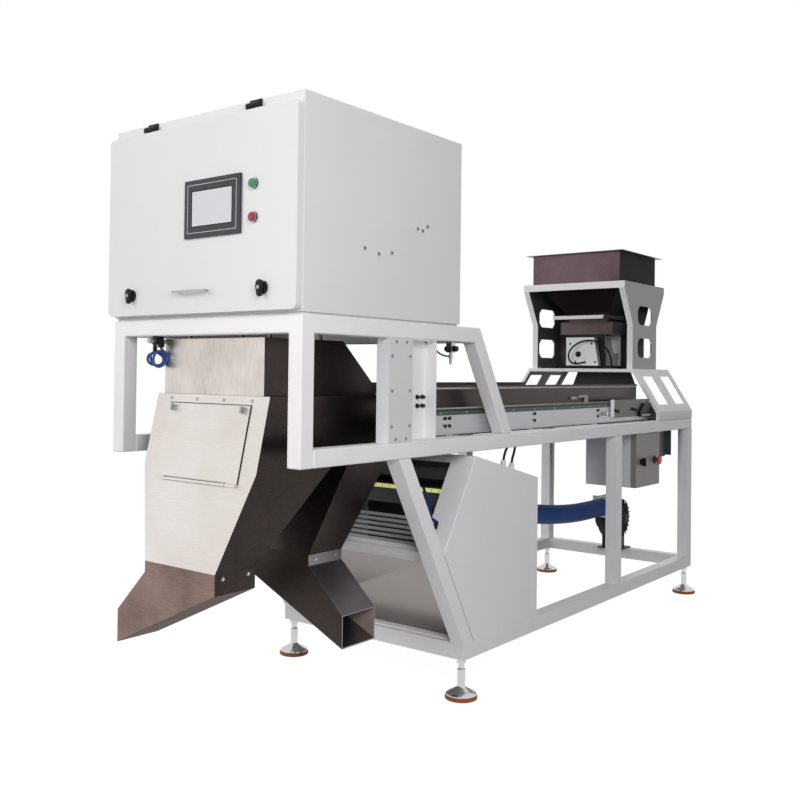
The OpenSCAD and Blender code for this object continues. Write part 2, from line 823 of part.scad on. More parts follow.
module chute_bolts() {
    color("silver") place() {
        for (x = [-1, -1 / 3, 1 / 3, 1]) on_panel(14) rod_y(4, -head_h, 0, x * hatch_w / 2, 0);
        both_sides() for (y = [spout_front, reject_y]) for (s = [28, spout_d - 28])
            rod_x(5, spout_w / 2, spout_w / 2 + 5, y + s, spout_top - 15);
    }
}

knob_in = 24;
knob_down = 14;
knob_shaft_r = 4;
module inspection_door() {
    front = -soft_gap - hatch_t;
    half = hatch_w / 2;
    color("lightgray") place() on_panel(hatch_drop + hatch_l) difference() {
        union() {
            bar(-half, half, front, -soft_gap, hatch_knuckle_r + 2, hatch_l);
            both_sides() {
                bar(half - hatch_ear, half, front, -soft_gap, 0, hatch_knuckle_r + 3);
                rod_x(hatch_knuckle_r, half - hatch_ear, half, hatch_axis, 0);
            }
            rod_x(hatch_pin_r, -half, half, hatch_axis, 0);
        }
        both_sides() rod_y(knob_shaft_r + fit, front - 1, 1, half - knob_in, hatch_l - knob_down);
    }
}

module inspection_knob(x) {
    front = -soft_gap - hatch_t - soft_gap;
    color("black") place() on_panel(hatch_drop + hatch_l) translate([x, 0, hatch_l - knob_down]) {
        rod_y(knob_shaft_r, front - 1, -soft_gap, 0, 0);
        rod_y(knob_d / 2, front - 6, front, 0, 0);
        bar(-3, 3, front - 14, front - 5, -knob_d / 2, knob_d / 2);
    }
}

module inspection_knob_left() {
    inspection_knob(knob_in - hatch_w / 2);
}

module inspection_knob_right() {
    inspection_knob(hatch_w / 2 - knob_in);
}

// Lower optics box
module lower_box() {
    outline = [crest, [box_rear, box_rear_z], [box_rear, base_top], [heel_y, base_top], nose];
    up = (crest - nose) / norm(crest - nose);
    inward = [up[1], -up[0]];
    color("whitesmoke") place() difference() {
        union() {
            prism_x(outline, -box_x, box_x);
            rod_y(hose_d / 2 + 8, box_rear - 1, box_rear + 10, blower_x, hose_z);
            bar(1 - rail_in, rail_in - 1, foot_y + tube / 2, heel_y + tube, base_top, base_top + box_wall);
        }
        translate([box_wall - box_x, 0, 0]) rotate([90, 0, 90]) linear_extrude(2 * (box_x - box_wall))
            offset(delta = -box_wall) polygon(outline);
        prism_x([nose + 14 * up - inward, crest - 30 * up - inward, crest - 30 * up + 2 * box_wall * inward,
            nose + 14 * up + 2 * box_wall * inward], box_border - box_x, box_x - box_border);
        rod_y(hose_d / 2 - 4, box_rear - box_wall - 1, box_rear + 11, blower_x, hose_z);
    }
}

slat_count = 8;
module slat_rack() {
    x = box_x - box_wall;
    color("silver") place() for (i = [0:slat_count - 1])
        translate([-x, nose[0] + 26 + i * 14, nose[1] - 28 + i * 14]) rotate([45, 0, 0]) cube([2 * x, 12, 4]);
}

lamp = 40;
module lamp_bars() {
    x = box_x - box_wall;
    color("gold") place() {
        bar(-x, x, nose[0] + 190, nose[0] + 190 + lamp, nose[1] + 205, nose[1] + 205 + lamp);
        bar(-x, x, nose[0] + 150, nose[0] + 150 + lamp, nose[1] + 115, nose[1] + 115 + lamp);
    }
}

// Conveyor
module conveyor_frame() {
    start = head_drum_y - drum_end;
    end = tail_drum_y + drum_end;
    pitch = (end - start - 360) / 3;
    color("silver") place() {
        difference() {
            union() {
                both_sides() {
                    bar(rail_in - profile_t, rail_in, start, end, profile_bot, profile_top);
                    for (i = [0:3])
                        bar(rail_in - profile_t, rail_in, start + 160 + i * pitch, start + 200 + i * pitch,
                            rail_top, profile_bot + eps);
                }
                for (i = [0:3])
                    bar(profile_t - rail_in - 1, rail_in - profile_t + 1, start + 200 + i * pitch,
                        start + 230 + i * pitch, profile_bot + 16, profile_bot + 40);
            }
            for (y = [head_drum_y, tail_drum_y]) both_sides()
                rod_x(shaft_d / 2 + fit, rail_in - profile_t - 1, rail_in + 1, y, drum_z);
        }
        bar(strip_w - rail_in, rail_in - strip_w, head_drum_y + drum_end, tail_drum_y - drum_end,
            strip_top - 6, strip_top);
    }
}

module wear_strips() {
    color("darkgreen") place() both_sides()
        bar(rail_in - strip_w, rail_in, head_drum_y + drum_end, tail_drum_y - drum_end,
            profile_top, strip_top);
}

module conveyor_belt() {
    color("darkslategray") place()
        loop(loop_r, belt_t, [head_drum_y, drum_z], [tail_drum_y, drum_z], -belt_w / 2, belt_w / 2);
}

module belt_guards() {
    rear = feed_base_front - 20;
    color("sienna") place() both_sides() {
        bar(guard_x, rail_in, head_drum_y + drum_end, rear, strip_top, strip_top + guard_t);
        bar(guard_x, guard_x + guard_t, guard_front, rear, strip_top, strip_top + guard_h);
    }
}

module guard_seals() {
    color("gainsboro") place() both_sides()
        bar(guard_x - 4, guard_x + guard_t + 4, guard_front, feed_base_front - 20,
            strip_top + guard_h, strip_top + guard_h + seal_h);
}

module drum(y) {
    rod_x(drum_r, -belt_w / 2 - 3, belt_w / 2 + 3, y, drum_z);
    rod_x(shaft_d / 2, 1 - rail_in, rail_in - 1, y, drum_z);
}

module head_drum() {
    color("silver") place() drum(head_drum_y);
}

module tail_drum() {
    color("silver") place() {
        drum(tail_drum_y);
        rod_x(pulley_r, pulley_x, pulley_x + pulley_w, tail_drum_y, drum_z);
    }
}

gear_half = 50;
gear_w = 92;
motor_l = 180;
module drive_motor() {
    x = pulley_x - 5;
    plate_y = motor_y + gear_half;
    cover_x = pulley_x + pulley_w + 4;
    low = motor_z - gear_half;
    color("dimgray") place() difference() {
        union() {
            bar(x - gear_w, x, motor_y - gear_half, plate_y, low, motor_z + gear_half);
            rod_x(gear_half - 2, x - gear_w - motor_l, x - gear_w + 1, motor_y, motor_z);
            bar(x - gear_w, rail_in, plate_y - eps, plate_y + 6, low, rail_top - 6);
            prism_x([[motor_y - 33, rail_bot], [plate_y, rail_bot], [plate_y, low + 10],
                [plate_y - 14, low - 6], [motor_y - 24, low - 6]], cover_x, cover_x + 3);
        }
        rod_x(motor_shaft_r + fit, x - 60, x + 1, motor_y, motor_z);
    }
}

module motor_pulley() {
    color("silver") place() {
        rod_x(pulley_r, pulley_x, pulley_x + pulley_w, motor_y, motor_z);
        rod_x(motor_shaft_r, pulley_x - 55, pulley_x + 1, motor_y, motor_z);
    }
}

module timing_belt() {
    color("black") place() loop(pulley_r + soft_gap, 3, [tail_drum_y, drum_z], [motor_y, motor_z],
        pulley_x + 2, pulley_x + pulley_w - 2);
}

// Feed unit
module hopper() {
    w = hopper_wall;
    top = stand_top + hopper_h;
    half = hopper_w / 2;
    color("rosybrown") place() difference() {
        union() {
            bar(-half, half, feed_y - hopper_d / 2, feed_y + hopper_d / 2, stand_top, top);
            bar(-half - hopper_rim, half + hopper_rim, feed_y - hopper_d / 2 - hopper_rim,
                feed_y + hopper_d / 2 + hopper_rim, top - w, top);
            taper([outlet_w / 2, feed_y - 70, feed_y + 70], funnel_z,
                [half - 15, feed_y - hopper_d / 2 + 15, feed_y + hopper_d / 2 - 15], stand_top + eps);
        }
        bar(w - half, half - w, feed_y - hopper_d / 2 + w, feed_y + hopper_d / 2 - w, stand_top + w, top + 1);
        taper([outlet_w / 2 - w, feed_y - 70 + w, feed_y + 70 - w], funnel_z - eps,
            [half - 15 - w, feed_y - hopper_d / 2 + 15 + w, feed_y + hopper_d / 2 - 15 - w],
            stand_top + w + eps);
    }
}

// Window with cut corners, middle at [y, z]
module cut_window(y, z, w, h, c) {
    prism_x([[y - w / 2 + c, z - h / 2], [y + w / 2 - c, z - h / 2], [y + w / 2, z - h / 2 + c],
        [y + w / 2, z + h / 2 - c], [y + w / 2 - c, z + h / 2], [y - w / 2 + c, z + h / 2],
        [y - w / 2, z + h / 2 - c], [y - w / 2, z - h / 2 + c]], -hw, hw);
}

fold = 32;
flange = 28;
rear_gap = 34;
module feed_stand() {
    half = stand_w / 2;
    t = stand_wall;
    wide = stand_top_d / 2;
    leg = stand_leg_d / 2;
    eave = stand_top - fold;
    function edge(s) = [[feed_y + s * wide, eave + eps], [feed_y + s * (wide - t), eave + eps],
        [feed_y + s * (leg - t), stand_knee], [feed_y + s * (leg - t), base_plate_z],
        [feed_y + s * leg, base_plate_z], [feed_y + s * leg, stand_knee]];
    color("whitesmoke") place() difference() {
        union() {
            difference() {
                bar(-half, half, feed_y - wide, feed_y + wide, eave, stand_top);
                bar(t - half, half - t, feed_y - wide + t, feed_y + wide - t, eave - 1, stand_top - t);
            }
            both_sides() {
                prism_x([[feed_y - wide, eave + eps], [feed_y + wide, eave + eps], [feed_y + leg, stand_knee],
                    [feed_y + leg, base_plate_z], [feed_y - leg, base_plate_z], [feed_y - leg, stand_knee]],
                    half - t, half);
                prism_x(edge(-1), half - flange, half);
            }
            prism_x(edge(1), -half, half - rear_gap - flange);
            prism_x(edge(1), half - flange, half);
        }
        bar(12 - hopper_w / 2, hopper_w / 2 - 12, feed_y - hopper_d / 2 + 12, feed_y + hopper_d / 2 - 12,
            eave, stand_top + 1);
        cut_window(feed_y, stand_knee + 43, 160, 90, 22);
        cut_window(feed_y, base_plate_z + 100, 160, 92, 22);
    }
}

slot_w = 118;
module stand_base() {
    t = stand_wall;
    top_x = base_top_w / 2;
    knee = rail_top + base_skirt;
    outline = [[-hw, rail_top], [-hw, knee], [-top_x, base_plate_z],
        [top_x, base_plate_z], [hw, knee], [hw, rail_top]];
    function inner(c) = [[c - hw, rail_top - 1], [c - hw, knee - c / 3], [c / 2 - top_x, base_plate_z - c],
        [top_x - c / 2, base_plate_z - c], [hw - c, knee - c / 3], [hw - c, rail_top - 1]];
    apron = [[-140, base_plate_z - t + eps], [140, base_plate_z - t + eps], [170, base_plate_z - 80],
        [160, base_plate_z - 132], [-160, base_plate_z - 132], [-170, base_plate_z - 80]];
    color("whitesmoke") place() {
        difference() {
            prism_y(outline, feed_base_front, frame_l);
            prism_y(inner(t), feed_base_front + t, frame_l - t);
            prism_y(inner(stand_lip), feed_base_front - 1, feed_base_front + t + 1);
            prism_y(inner(stand_lip), frame_l - t - 1, frame_l + 1);
            for (y = [feed_base_front + 49, feed_base_front + 251])
                bar(-hw - 1, hw + 1, y, y + slot_w, knee + 32, base_plate_z - 34);
        }
        prism_y(apron, feed_y + 113, feed_y + 113 + t);
    }
}

module feeder_trough() {
    t = 3;
    color("silver") place() {
        difference() {
            bar(-trough_w / 2, trough_w / 2, trough_front, feed_y + 110, trough_z, trough_z + trough_h);
            bar(t - trough_w / 2, trough_w / 2 - t, trough_front - 1, feed_y + 110 - t,
                trough_z + t, trough_z + trough_h + 1);
        }
        bar(-100, 100, feed_y - 60, feed_y + 90, trough_z - neck_h - eps, trough_z + eps);
        difference() {
            bar(-mount_w / 2, mount_w / 2, feed_y - 82, feed_y + 100, mount_z, trough_z - neck_h);
            bar(5 - mount_w / 2, mount_w / 2 - 5, feed_y - 77, feed_y + 101,
                mount_z + 5, trough_z - neck_h - 5);
        }
    }
}

spring_t = 6;
module feeder_drive() {
    color("white") place() {
        prism_y([[-92, base_plate_z + 15], [80, base_plate_z + 15],
            [56, mount_z - 15], [-92, mount_z - 15]], drive_face, feed_y + 76);
        bar(79, 108, drive_face + 25, feed_y + 40, base_plate_z + 15, base_plate_z + 75);
        bar(-110, 110, drive_face + 30, feed_y + 96, base_plate_z, base_plate_z + 16);
        for (y = [drive_face + 30, feed_y + 90])
            bar(-100, 100, y, y + spring_t, base_plate_z + 15, mount_z - soft_gap);
        bar(-90, 90, feed_y + 75, feed_y + 91, base_plate_z + 40, base_plate_z + 80);
    }
}

// Control box
module control_box() {
    w = 3;
    top = rail_bot - ctrl_lug;
    color("gainsboro") place() difference() {
        union() {
            bar(ctrl_x - ctrl_d, ctrl_x, ctrl_y, ctrl_y + ctrl_w, ctrl_bot, top);
            for (y = [ctrl_y + 20, ctrl_y + ctrl_w - 60])
                bar(ctrl_x - 60, hw - 20, y, y + 40, top - eps, rail_bot);
            for (z = [ctrl_bot + 40, ctrl_bot + ctrl_h - 70]) {
                rod_z(6, z, z + 24, ctrl_axis_x, ctrl_axis_y);
                bar(ctrl_x - 30, ctrl_x, ctrl_y + ctrl_w - eps, ctrl_axis_y + 6, z, z + 24);
                bar(ctrl_x - 1, ctrl_axis_x, ctrl_y + ctrl_w + run_gap, ctrl_axis_y + 6, z, z + 24);
            }
        }
        bar(ctrl_x - ctrl_d + w, ctrl_x + 1, ctrl_y + w, ctrl_y + ctrl_w - w, ctrl_bot + w, top - w);
        rod_z(4 + fit, ctrl_bot, rail_bot - ctrl_lug - 1, ctrl_axis_x, ctrl_axis_y);
    }
}

module control_door() {
    back = ctrl_face - ctrl_door_t;
    top = rail_bot - ctrl_lug - 2;
    color("gainsboro") place() difference() {
        union() {
            bar(back, ctrl_face, ctrl_y, ctrl_y + ctrl_w, ctrl_bot, top);
            for (z = [ctrl_bot + 40, ctrl_bot + ctrl_h - 70]) {
                rod_z(4, z - 10, z + 34, ctrl_axis_x, ctrl_axis_y);
                for (e = [z - 11, z + 25]) {
                    rod_z(6, e, e + 10, ctrl_axis_x, ctrl_axis_y);
                    bar(ctrl_axis_x - 4, ctrl_axis_x + 4, ctrl_y + ctrl_w - 1, ctrl_axis_y, e, e + 10);
                }
            }
        }
        bar(back - 1, ctrl_face - 3, ctrl_y + 12, ctrl_y + ctrl_w - 12, ctrl_bot + 12, top - 12);
        rod_x(5 + fit, back, ctrl_face + 1, isolator_at[0], isolator_at[1]);
        rod_x(8 + fit, back, ctrl_face + 1, estop_at[0], estop_at[1]);
    }
}

module isolator_knob() {
    x = ctrl_face + soft_gap;
    color("black") place() {
        rod_x(5, ctrl_face - 12, x + 1, isolator_at[0], isolator_at[1]);
        rod_x(14, x, x + 8, isolator_at[0], isolator_at[1]);
        bar(x + 7, x + 24, isolator_at[0] - 4, isolator_at[0] + 4, isolator_at[1] - 18, isolator_at[1] + 18);
    }
}

module emergency_stop() {
    color("firebrick") place() {
        rod_x(8, ctrl_face - 12, ctrl_face + 20, estop_at[0], estop_at[1]);
        rod_x(estop_d / 2, ctrl_face + 16, ctrl_face + 30, estop_at[0], estop_at[1]);
    }
}

// Blower
casing_t = 4;
port_half = hose_d / 2 + 9;
inlet_r = 42;
module blower_housing() {
    x0 = blower_x - blower_w / 2;
    x1 = blower_x + blower_w / 2;
    color("dimgray") place() difference() {
        union() {
            rod_x(blower_r, x0, x1, blower_y, blower_z);
            bar(x0, x1, port_y + 10, blower_y, port_z - port_half + 4, port_z + port_half - 4);
            bar(blower_x - port_half, blower_x + port_half, port_y, port_y + 11,
                port_z - port_half, port_z + port_half);
            rod_x(60, x0 - 30, x0 + eps, blower_y, blower_z);
            bar(x0, x1, blower_y - 40, blower_y + 40, base_top + 5, blower_z - 70);
            bar(x0 - 20, x1 + 20, blower_y - 50, frame_l, base_top, base_top + 6);
        }
        rod_x(blower_r - casing_t, x0 + casing_t, x1 - casing_t, blower_y, blower_z);
        bar(x0 + casing_t, x1 - casing_t, port_y + 12, blower_y,
            port_z - port_half + 8, port_z + port_half - 8);
        rod_y(blower_w / 2 - 6, port_y - 1, port_y + 13, blower_x, port_z);
        rod_x(inlet_r, x1 - casing_t - 1, x1 + 1, blower_y, blower_z);
        rod_x(8 + fit, x0 - 22, x0 + casing_t + 1, blower_y, blower_z);
    }
}

blade_count = 12;
module blower_impeller() {
    x0 = blower_x - blower_w / 2;
    color("silver") place() {
        rod_x(8, x0 - 20, x0 + 30, blower_y, blower_z);
        rod_x(84, x0 + 10, x0 + 13, blower_y, blower_z);
        rod_x(20, x0 + 12, x0 + 34, blower_y, blower_z);
        for (i = [0:blade_count - 1]) translate([0, blower_y, blower_z]) rotate([i * 360 / blade_count, 0, 0])
            bar(x0 + 12, x0 + 62, 50, 84, -1.5, 1.5);
    }
}

// Lines
module air_hose() {
    color("navy") place() sweep(hose_route, hose_d, 12, [0, 0, 1]);
}

module feeder_cable() {
    color("black") place() sweep(cable_route, cable_d, 8, [0, 1, 0]);
}

module air_coil() {
    color("royalblue") place() translate(coil_at) rotate([-90, 0, 0]) translate([0, 0, -coil_h / 2])
        rotate_extrude() translate([coil_r - line_d / 2, 0]) square([line_d, coil_h]);
}

module lines_and_fittings() {
    color("black") place() {
        bar(coil_at[0] - 16, coil_at[0] + 16, 10, 40, coil_at[2] + coil_r + line_d / 2 + soft_gap, beam_bot);
        bar(rail_in + 12, rail_in + 34, guard_front + 88, guard_front + 110, beam_bot - 34, beam_bot);
        rod_x(9, rail_in + 34 - eps, rail_in + 49, guard_front + 99, beam_bot - 22);
        rod_z(5, beam_bot - 72, beam_bot - 34 + eps, rail_in + 23, guard_front + 99);
        for (y = [1040, 1094]) translate([hw - 30, y, box_top_z - (y - box_top_y) * box_slope])
            rotate([-atan(box_slope), 0, 0]) {
                rise = rail_bot - 2 - box_top_z + (y - box_top_y) * box_slope;
                cylinder(r = 11, h = 20);
                cylinder(r = 5, h = rise / cos(atan(box_slope)));
            }
    }
}

head_frame();
side_rails();
lower_frame();
foot_front_left();
foot_front_right();
foot_rear_left();
foot_rear_right();
cabinet_shell();
side_bolts();
cabinet_hinges();
door_panel();
door_hinges();
door_handle();
panel_bezels();
hmi_screen();
button_green();
button_red();
latch_left();
latch_right();
cameras();
side_pans();
cover_plates();
ejector_bar();
chute_hood();
accept_chute();
accept_spout();
reject_chute();
reject_spout();
chute_bolts();
inspection_door();
inspection_knob_left();
inspection_knob_right();
lower_box();
slat_rack();
lamp_bars();
conveyor_frame();
wear_strips();
conveyor_belt();
belt_guards();
guard_seals();
head_drum();
tail_drum();
drive_motor();
motor_pulley();
timing_belt();
hopper();
feed_stand();
stand_base();
feeder_trough();
feeder_drive();
control_box();
control_door();
isolator_knob();
emergency_stop();
blower_housing();
blower_impeller();
air_hose();
feeder_cable();
air_coil();
lines_and_fittings();
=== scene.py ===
"""Belt-type optical colour sorter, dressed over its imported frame."""

import logging
import math
from dataclasses import dataclass
from enum import Enum
from typing import Callable, ClassVar, Iterable, Sequence

import bmesh
import bpy
from mathutils import Matrix, Vector


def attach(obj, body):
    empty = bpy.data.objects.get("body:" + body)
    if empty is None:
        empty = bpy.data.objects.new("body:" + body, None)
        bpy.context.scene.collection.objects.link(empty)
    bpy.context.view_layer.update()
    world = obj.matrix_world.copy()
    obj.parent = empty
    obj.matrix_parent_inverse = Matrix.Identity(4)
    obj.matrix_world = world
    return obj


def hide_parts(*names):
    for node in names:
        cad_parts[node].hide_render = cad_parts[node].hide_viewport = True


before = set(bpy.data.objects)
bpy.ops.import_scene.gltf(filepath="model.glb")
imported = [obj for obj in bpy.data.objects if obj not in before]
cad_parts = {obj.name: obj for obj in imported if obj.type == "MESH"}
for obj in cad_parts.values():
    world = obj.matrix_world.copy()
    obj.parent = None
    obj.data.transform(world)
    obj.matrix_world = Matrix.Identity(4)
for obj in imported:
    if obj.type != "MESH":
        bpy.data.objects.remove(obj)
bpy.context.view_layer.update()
log = logging.getLogger("colour_sorter")

FRONT_OFFSET = 1353.008
Point = tuple[float, float, float]
Paint = Callable[[bmesh.types.BMFace], int]
Pick = Callable[[bmesh.types.BMEdge], bool]


def at(x: float, y: float, z: float) -> Vector:
    """Turns millimetres from the frame's front plane into the shared frame.

    Args:
        x: Distance to the operator's right of the middle.
        y: Distance behind the frame's front plane.
        z: Height above the floor.

    Returns:
        The point in metres.
    """
    return Vector((x / 1000, (y - FRONT_OFFSET) / 1000, z / 1000))


class Surface(Enum):
    """How a finish is built up in its nodes."""

    PAINT = "paint"
    BRUSHED = "brushed"
    METAL = "metal"
    PLASTIC = "plastic"
    RUBBER = "rubber"
    GLASS = "glass"


class Axis(Enum):
    """An axis of the shared frame, with the turn that brings Z onto it."""

    X = Matrix.Rotation(math.radians(90), 4, "Y")
    Y = Matrix.Rotation(math.radians(-90), 4, "X")
    Z = Matrix.Identity(4)


@dataclass(frozen=True)
class Finish:
    """One finish of the machine, made as a node material on demand."""

    name: str
    surface: Surface
    colour: Point
    roughness: float
    slot: str
    mottle: float = 0.08
    grain: Point = (1.0, 1.0, 1.0)
    tint: Point = (1.0, 1.0, 1.0)
    bump: float = 0.05
    blotch: float = 2.5
    coat: float = 0.0
    glow: float = 0.0
    specular: float = 0.5
    BUMP_DEPTH: ClassVar[float] = 0.0006
    COAT_ROUGHNESS: ClassVar[float] = 0.2
    BRUSH_ANISOTROPY: ClassVar[float] = 0.4
    RAMP_ENDS: ClassVar[tuple[float, float]] = (0.32, 0.68)
    LIGHT_SHARE: ClassVar[float] = 0.6
    ROUGHNESS_SWING: ClassVar[tuple[float, float]] = (0.8, 1.2)
    NOISE_SUM: ClassVar[tuple[float, float]] = (0.6, 1.4)
    NOISE_ROUGHNESS: ClassVar[float] = 0.6
    LEAST_ROUGHNESS: ClassVar[float] = 0.02
    BRUSHED_SHARES: ClassVar[tuple[float, float]] = (0.45, 0.6)
    PLAIN_SHARES: ClassVar[tuple[float, float]] = (0.2, 0.8)

    def material(self) -> bpy.types.Material:
        """Returns the finish's material, building it the first time."""
        known = bpy.data.materials.get(self.name)
        return known or self._build()

    def _build(self) -> bpy.types.Material:
        """Builds the node tree: broad blotches, fine grain and bump.

        Returns:
            The finished material.
        """
        material = bpy.data.materials.new(self.name)
        material.use_nodes = True
        tree = material.node_tree
        shader = tree.nodes["Principled BSDF"]
        metal = self.surface in (Surface.BRUSHED, Surface.METAL)
        shader.inputs["Metallic"].default_value = 1.0 if metal else 0.0
        shader.inputs["Coat Weight"].default_value = self.coat
        shader.inputs["Coat Roughness"].default_value = self.COAT_ROUGHNESS
        shader.inputs["Emission Color"].default_value = (*self.colour, 1)
        shader.inputs["Emission Strength"].default_value = self.glow
        if self.surface is Surface.BRUSHED:
            shader.inputs["Anisotropic"].default_value = self.BRUSH_ANISOTROPY
        shader.inputs["Specular IOR Level"].default_value = self.specular
        coords = tree.nodes.new("ShaderNodeTexCoord").outputs["Object"]
        broad = self._noise(tree, coords, self.blotch, (1, 1, 1), 3.0)
        fine = self._noise(tree, coords, self._fine_scale(), self.grain, 4.0)
        self._colour(tree, shader, broad, fine)
        self._roughness(tree, shader, broad, fine)
        if self.bump > 0:
            node = tree.nodes.new("ShaderNodeBump")
            node.inputs["Strength"].default_value = self.bump
            node.inputs["Distance"].default_value = self.BUMP_DEPTH
            tree.links.new(fine, node.inputs["Height"])
            tree.links.new(node.outputs["Normal"], shader.inputs["Normal"])
        return material

    def _fine_scale(self) -> float:
        """Scale of the fine grain, in cycles per metre."""
        return {
            Surface.PAINT: 420.0,
            Surface.BRUSHED: 14.0,
            Surface.METAL: 160.0,
            Surface.PLASTIC: 700.0,
            Surface.RUBBER: 520.0,
            Surface.GLASS: 30.0,
        }[self.surface]

    @staticmethod
    def _noise(tree: bpy.types.NodeTree, coords: bpy.types.NodeSocket, scale: float, stretch: Point,
               detail: float) -> bpy.types.NodeSocket:
        """Adds a noise stretched by a Mapping node.

        Args:
            tree: Node tree to add to.
            coords: Coordinates to read.
            scale: Cycles per metre.
            stretch: Factors along X, Y and Z.
            detail: Octaves.

        Returns:
            The noise's factor socket.
        """
        mapping = tree.nodes.new("ShaderNodeMapping")
        mapping.inputs["Scale"].default_value = stretch
        tree.links.new(coords, mapping.inputs["Vector"])
        noise = tree.nodes.new("ShaderNodeTexNoise")
        noise.inputs["Scale"].default_value = scale
        noise.inputs["Detail"].default_value = detail
        noise.inputs["Roughness"].default_value = Finish.NOISE_ROUGHNESS
        tree.links.new(mapping.outputs["Vector"], noise.inputs["Vector"])
        return noise.outputs["Fac"]

    def _colour(self, tree: bpy.types.NodeTree, shader: bpy.types.Node, broad: bpy.types.NodeSocket,
                fine: bpy.types.NodeSocket) -> None:
        """Links a base colour that drifts between the colour and its tint.

        Args:
            tree: Node tree to add to.
            shader: Shader that takes the result.
            broad: Broad blotches.
            fine: Fine grain.
        """
        dark = tuple(c * t * (1 - self.mottle) for c, t in zip(self.colour, self.tint))
        light = tuple(min(1.0, c * (1 + self.mottle * self.LIGHT_SHARE)) for c in self.colour)
        ramp = tree.nodes.new("ShaderNodeValToRGB")
        for stop, position, colour in zip(ramp.color_ramp.elements, self.RAMP_ENDS, (dark, light)):
            stop.position = position
            stop.color = (*colour, 1)
        brushed = self.surface is Surface.BRUSHED
        fine_share, broad_share = self.BRUSHED_SHARES if brushed else self.PLAIN_SHARES
        blend = tree.nodes.new("ShaderNodeMath")
        blend.operation = "MULTIPLY_ADD"
        blend.inputs[1].default_value = fine_share
        tree.links.new(fine, blend.inputs[0])
        shift = tree.nodes.new("ShaderNodeMath")
        shift.operation = "MULTIPLY_ADD"
        shift.inputs[1].default_value = broad_share
        shift.inputs[2].default_value = 0.0
        tree.links.new(broad, shift.inputs[0])
        tree.links.new(shift.outputs[0], blend.inputs[2])
        tree.links.new(blend.outputs[0], ramp.inputs["Fac"])
        tree.links.new(ramp.outputs["Color"], shader.inputs["Base Color"])

    def _roughness(self, tree: bpy.types.NodeTree, shader: bpy.types.Node, broad: bpy.types.NodeSocket,
                   fine: bpy.types.NodeSocket) -> None:
        """Links a roughness that wanders around the finish's own.

        Args:
            tree: Node tree to add to.
            shader: Shader that takes the result.
            broad: Broad blotches.
            fine: Fine grain.
        """
        mix = tree.nodes.new("ShaderNodeMath")
        mix.operation = "ADD"
        tree.links.new(broad, mix.inputs[0])
        tree.links.new(fine, mix.inputs[1])
        span = tree.nodes.new("ShaderNodeMapRange")
        smooth, rough = (self.roughness * swing for swing in self.ROUGHNESS_SWING)
        span.inputs["From Min"].default_value = self.NOISE_SUM[0]
        span.inputs["From Max"].default_value = self.NOISE_SUM[1]
        span.inputs["To Min"].default_value = max(self.LEAST_ROUGHNESS, smooth)
        span.inputs["To Max"].default_value = min(1.0, rough)
        tree.links.new(mix.outputs[0], span.inputs["Value"])
        tree.links.new(span.outputs["Result"], shader.inputs["Roughness"])


FRAME_WHITE = Finish("frame_paint", Surface.PAINT, (0.90, 0.885, 0.905), 0.42, "frame_white", 0.04, bump=0.10)
CABINET_WHITE = Finish("cabinet_paint", Surface.PAINT, (0.80, 0.79, 0.80), 0.40, "cabinet_white", 0.03,
                       bump=0.10)
# Greyer white of the cover plates; on the stand base's side skirts the same colour is painted shade.
COVER_AND_SKIRT_SHADE_WHITE = Finish("cover_and_skirt_shade_paint", Surface.PAINT, (0.72, 0.70, 0.71), 0.42, "frame_white", 0.05, bump=0.10)
# Painted shade: a grey copy of the white paint for right-hand faces of the feed stand and the feeder drive.
STAND_SIDE_SHADE = Finish("stand_side_painted_shade", Surface.PAINT, (0.40, 0.385, 0.395), 0.45, "frame_white", 0.06,
                    bump=0.10)
# Painted shade: near-black paint for inward faces, undersides and the apron of the stand, its base and the
# lower box.
STAND_INNER_SHADE = Finish("stand_inner_painted_shade", Surface.PAINT, (0.085, 0.078, 0.080), 0.55, "frame_white", 0.15,
                    bump=0.10)
PANEL_STEEL = Finish("bright_brushed_steel", Surface.BRUSHED, (0.84, 0.815, 0.80), 0.40, "bright_steel", 0.07,
                     (2, 2, 60), (0.92, 0.86, 0.80), 0.12, 3.0)
HOOD_STEEL = Finish("hood_brushed_steel", Surface.BRUSHED, (0.74, 0.70, 0.665), 0.34, "bright_steel", 0.30,
                    (50, 50, 2), (0.88, 0.80, 0.74), 0.10, 3.5)
# Painted reflection: the brown base colour stands in for the brown surroundings that the stainless steel
# reflects.
CHUTE_REFLECTION_STEEL = Finish("reflected_brown_steel", Surface.BRUSHED, (0.26, 0.185, 0.16), 0.36, "brown_steel", 0.35,
                     (3, 3, 50), (0.82, 0.72, 0.68), 0.10, 5.0)
# Painted shade and reflection: dark brown stands in for stainless steel in shade and the brown surroundings
# it reflects; used on the reject chute's front and the tray's box.
DUSK_SHADE_STEEL = Finish("dusk_shade_reflection_steel", Surface.BRUSHED, (0.115, 0.088, 0.088), 0.34, "brown_steel", 0.40,
                    (3, 3, 50), (0.80, 0.72, 0.72), 0.08, 4.0)
# Painted shade: a near-black copy of the chutes' brushed steel for faces turned away from the operator.
SHADE_STEEL = Finish("painted_shade_steel", Surface.BRUSHED, (0.050, 0.040, 0.037), 0.32, "dark_steel", 0.45,
                     (3, 3, 50), (0.75, 0.68, 0.66), 0.08, 3.0)
# Painted reflection: the purple-brown base colour stands in for the surroundings that the hopper's stainless
# steel reflects.
HOPPER_REFLECTION_STEEL = Finish("hopper_reflection_steel", Surface.BRUSHED, (0.165, 0.108, 0.128), 0.30, "brown_steel", 0.35,
                      (50, 50, 3), (0.85, 0.78, 0.80), 0.08, 4.0)
# Painted shade and reflection: a near-black tone stands in for the stainless guards in shade and their dark
# reflections.
GUARD_SHADE_STEEL = Finish("guard_shade_steel", Surface.BRUSHED, (0.048, 0.038, 0.035), 0.32, "brown_steel", 0.40,
                     (40, 2, 40))
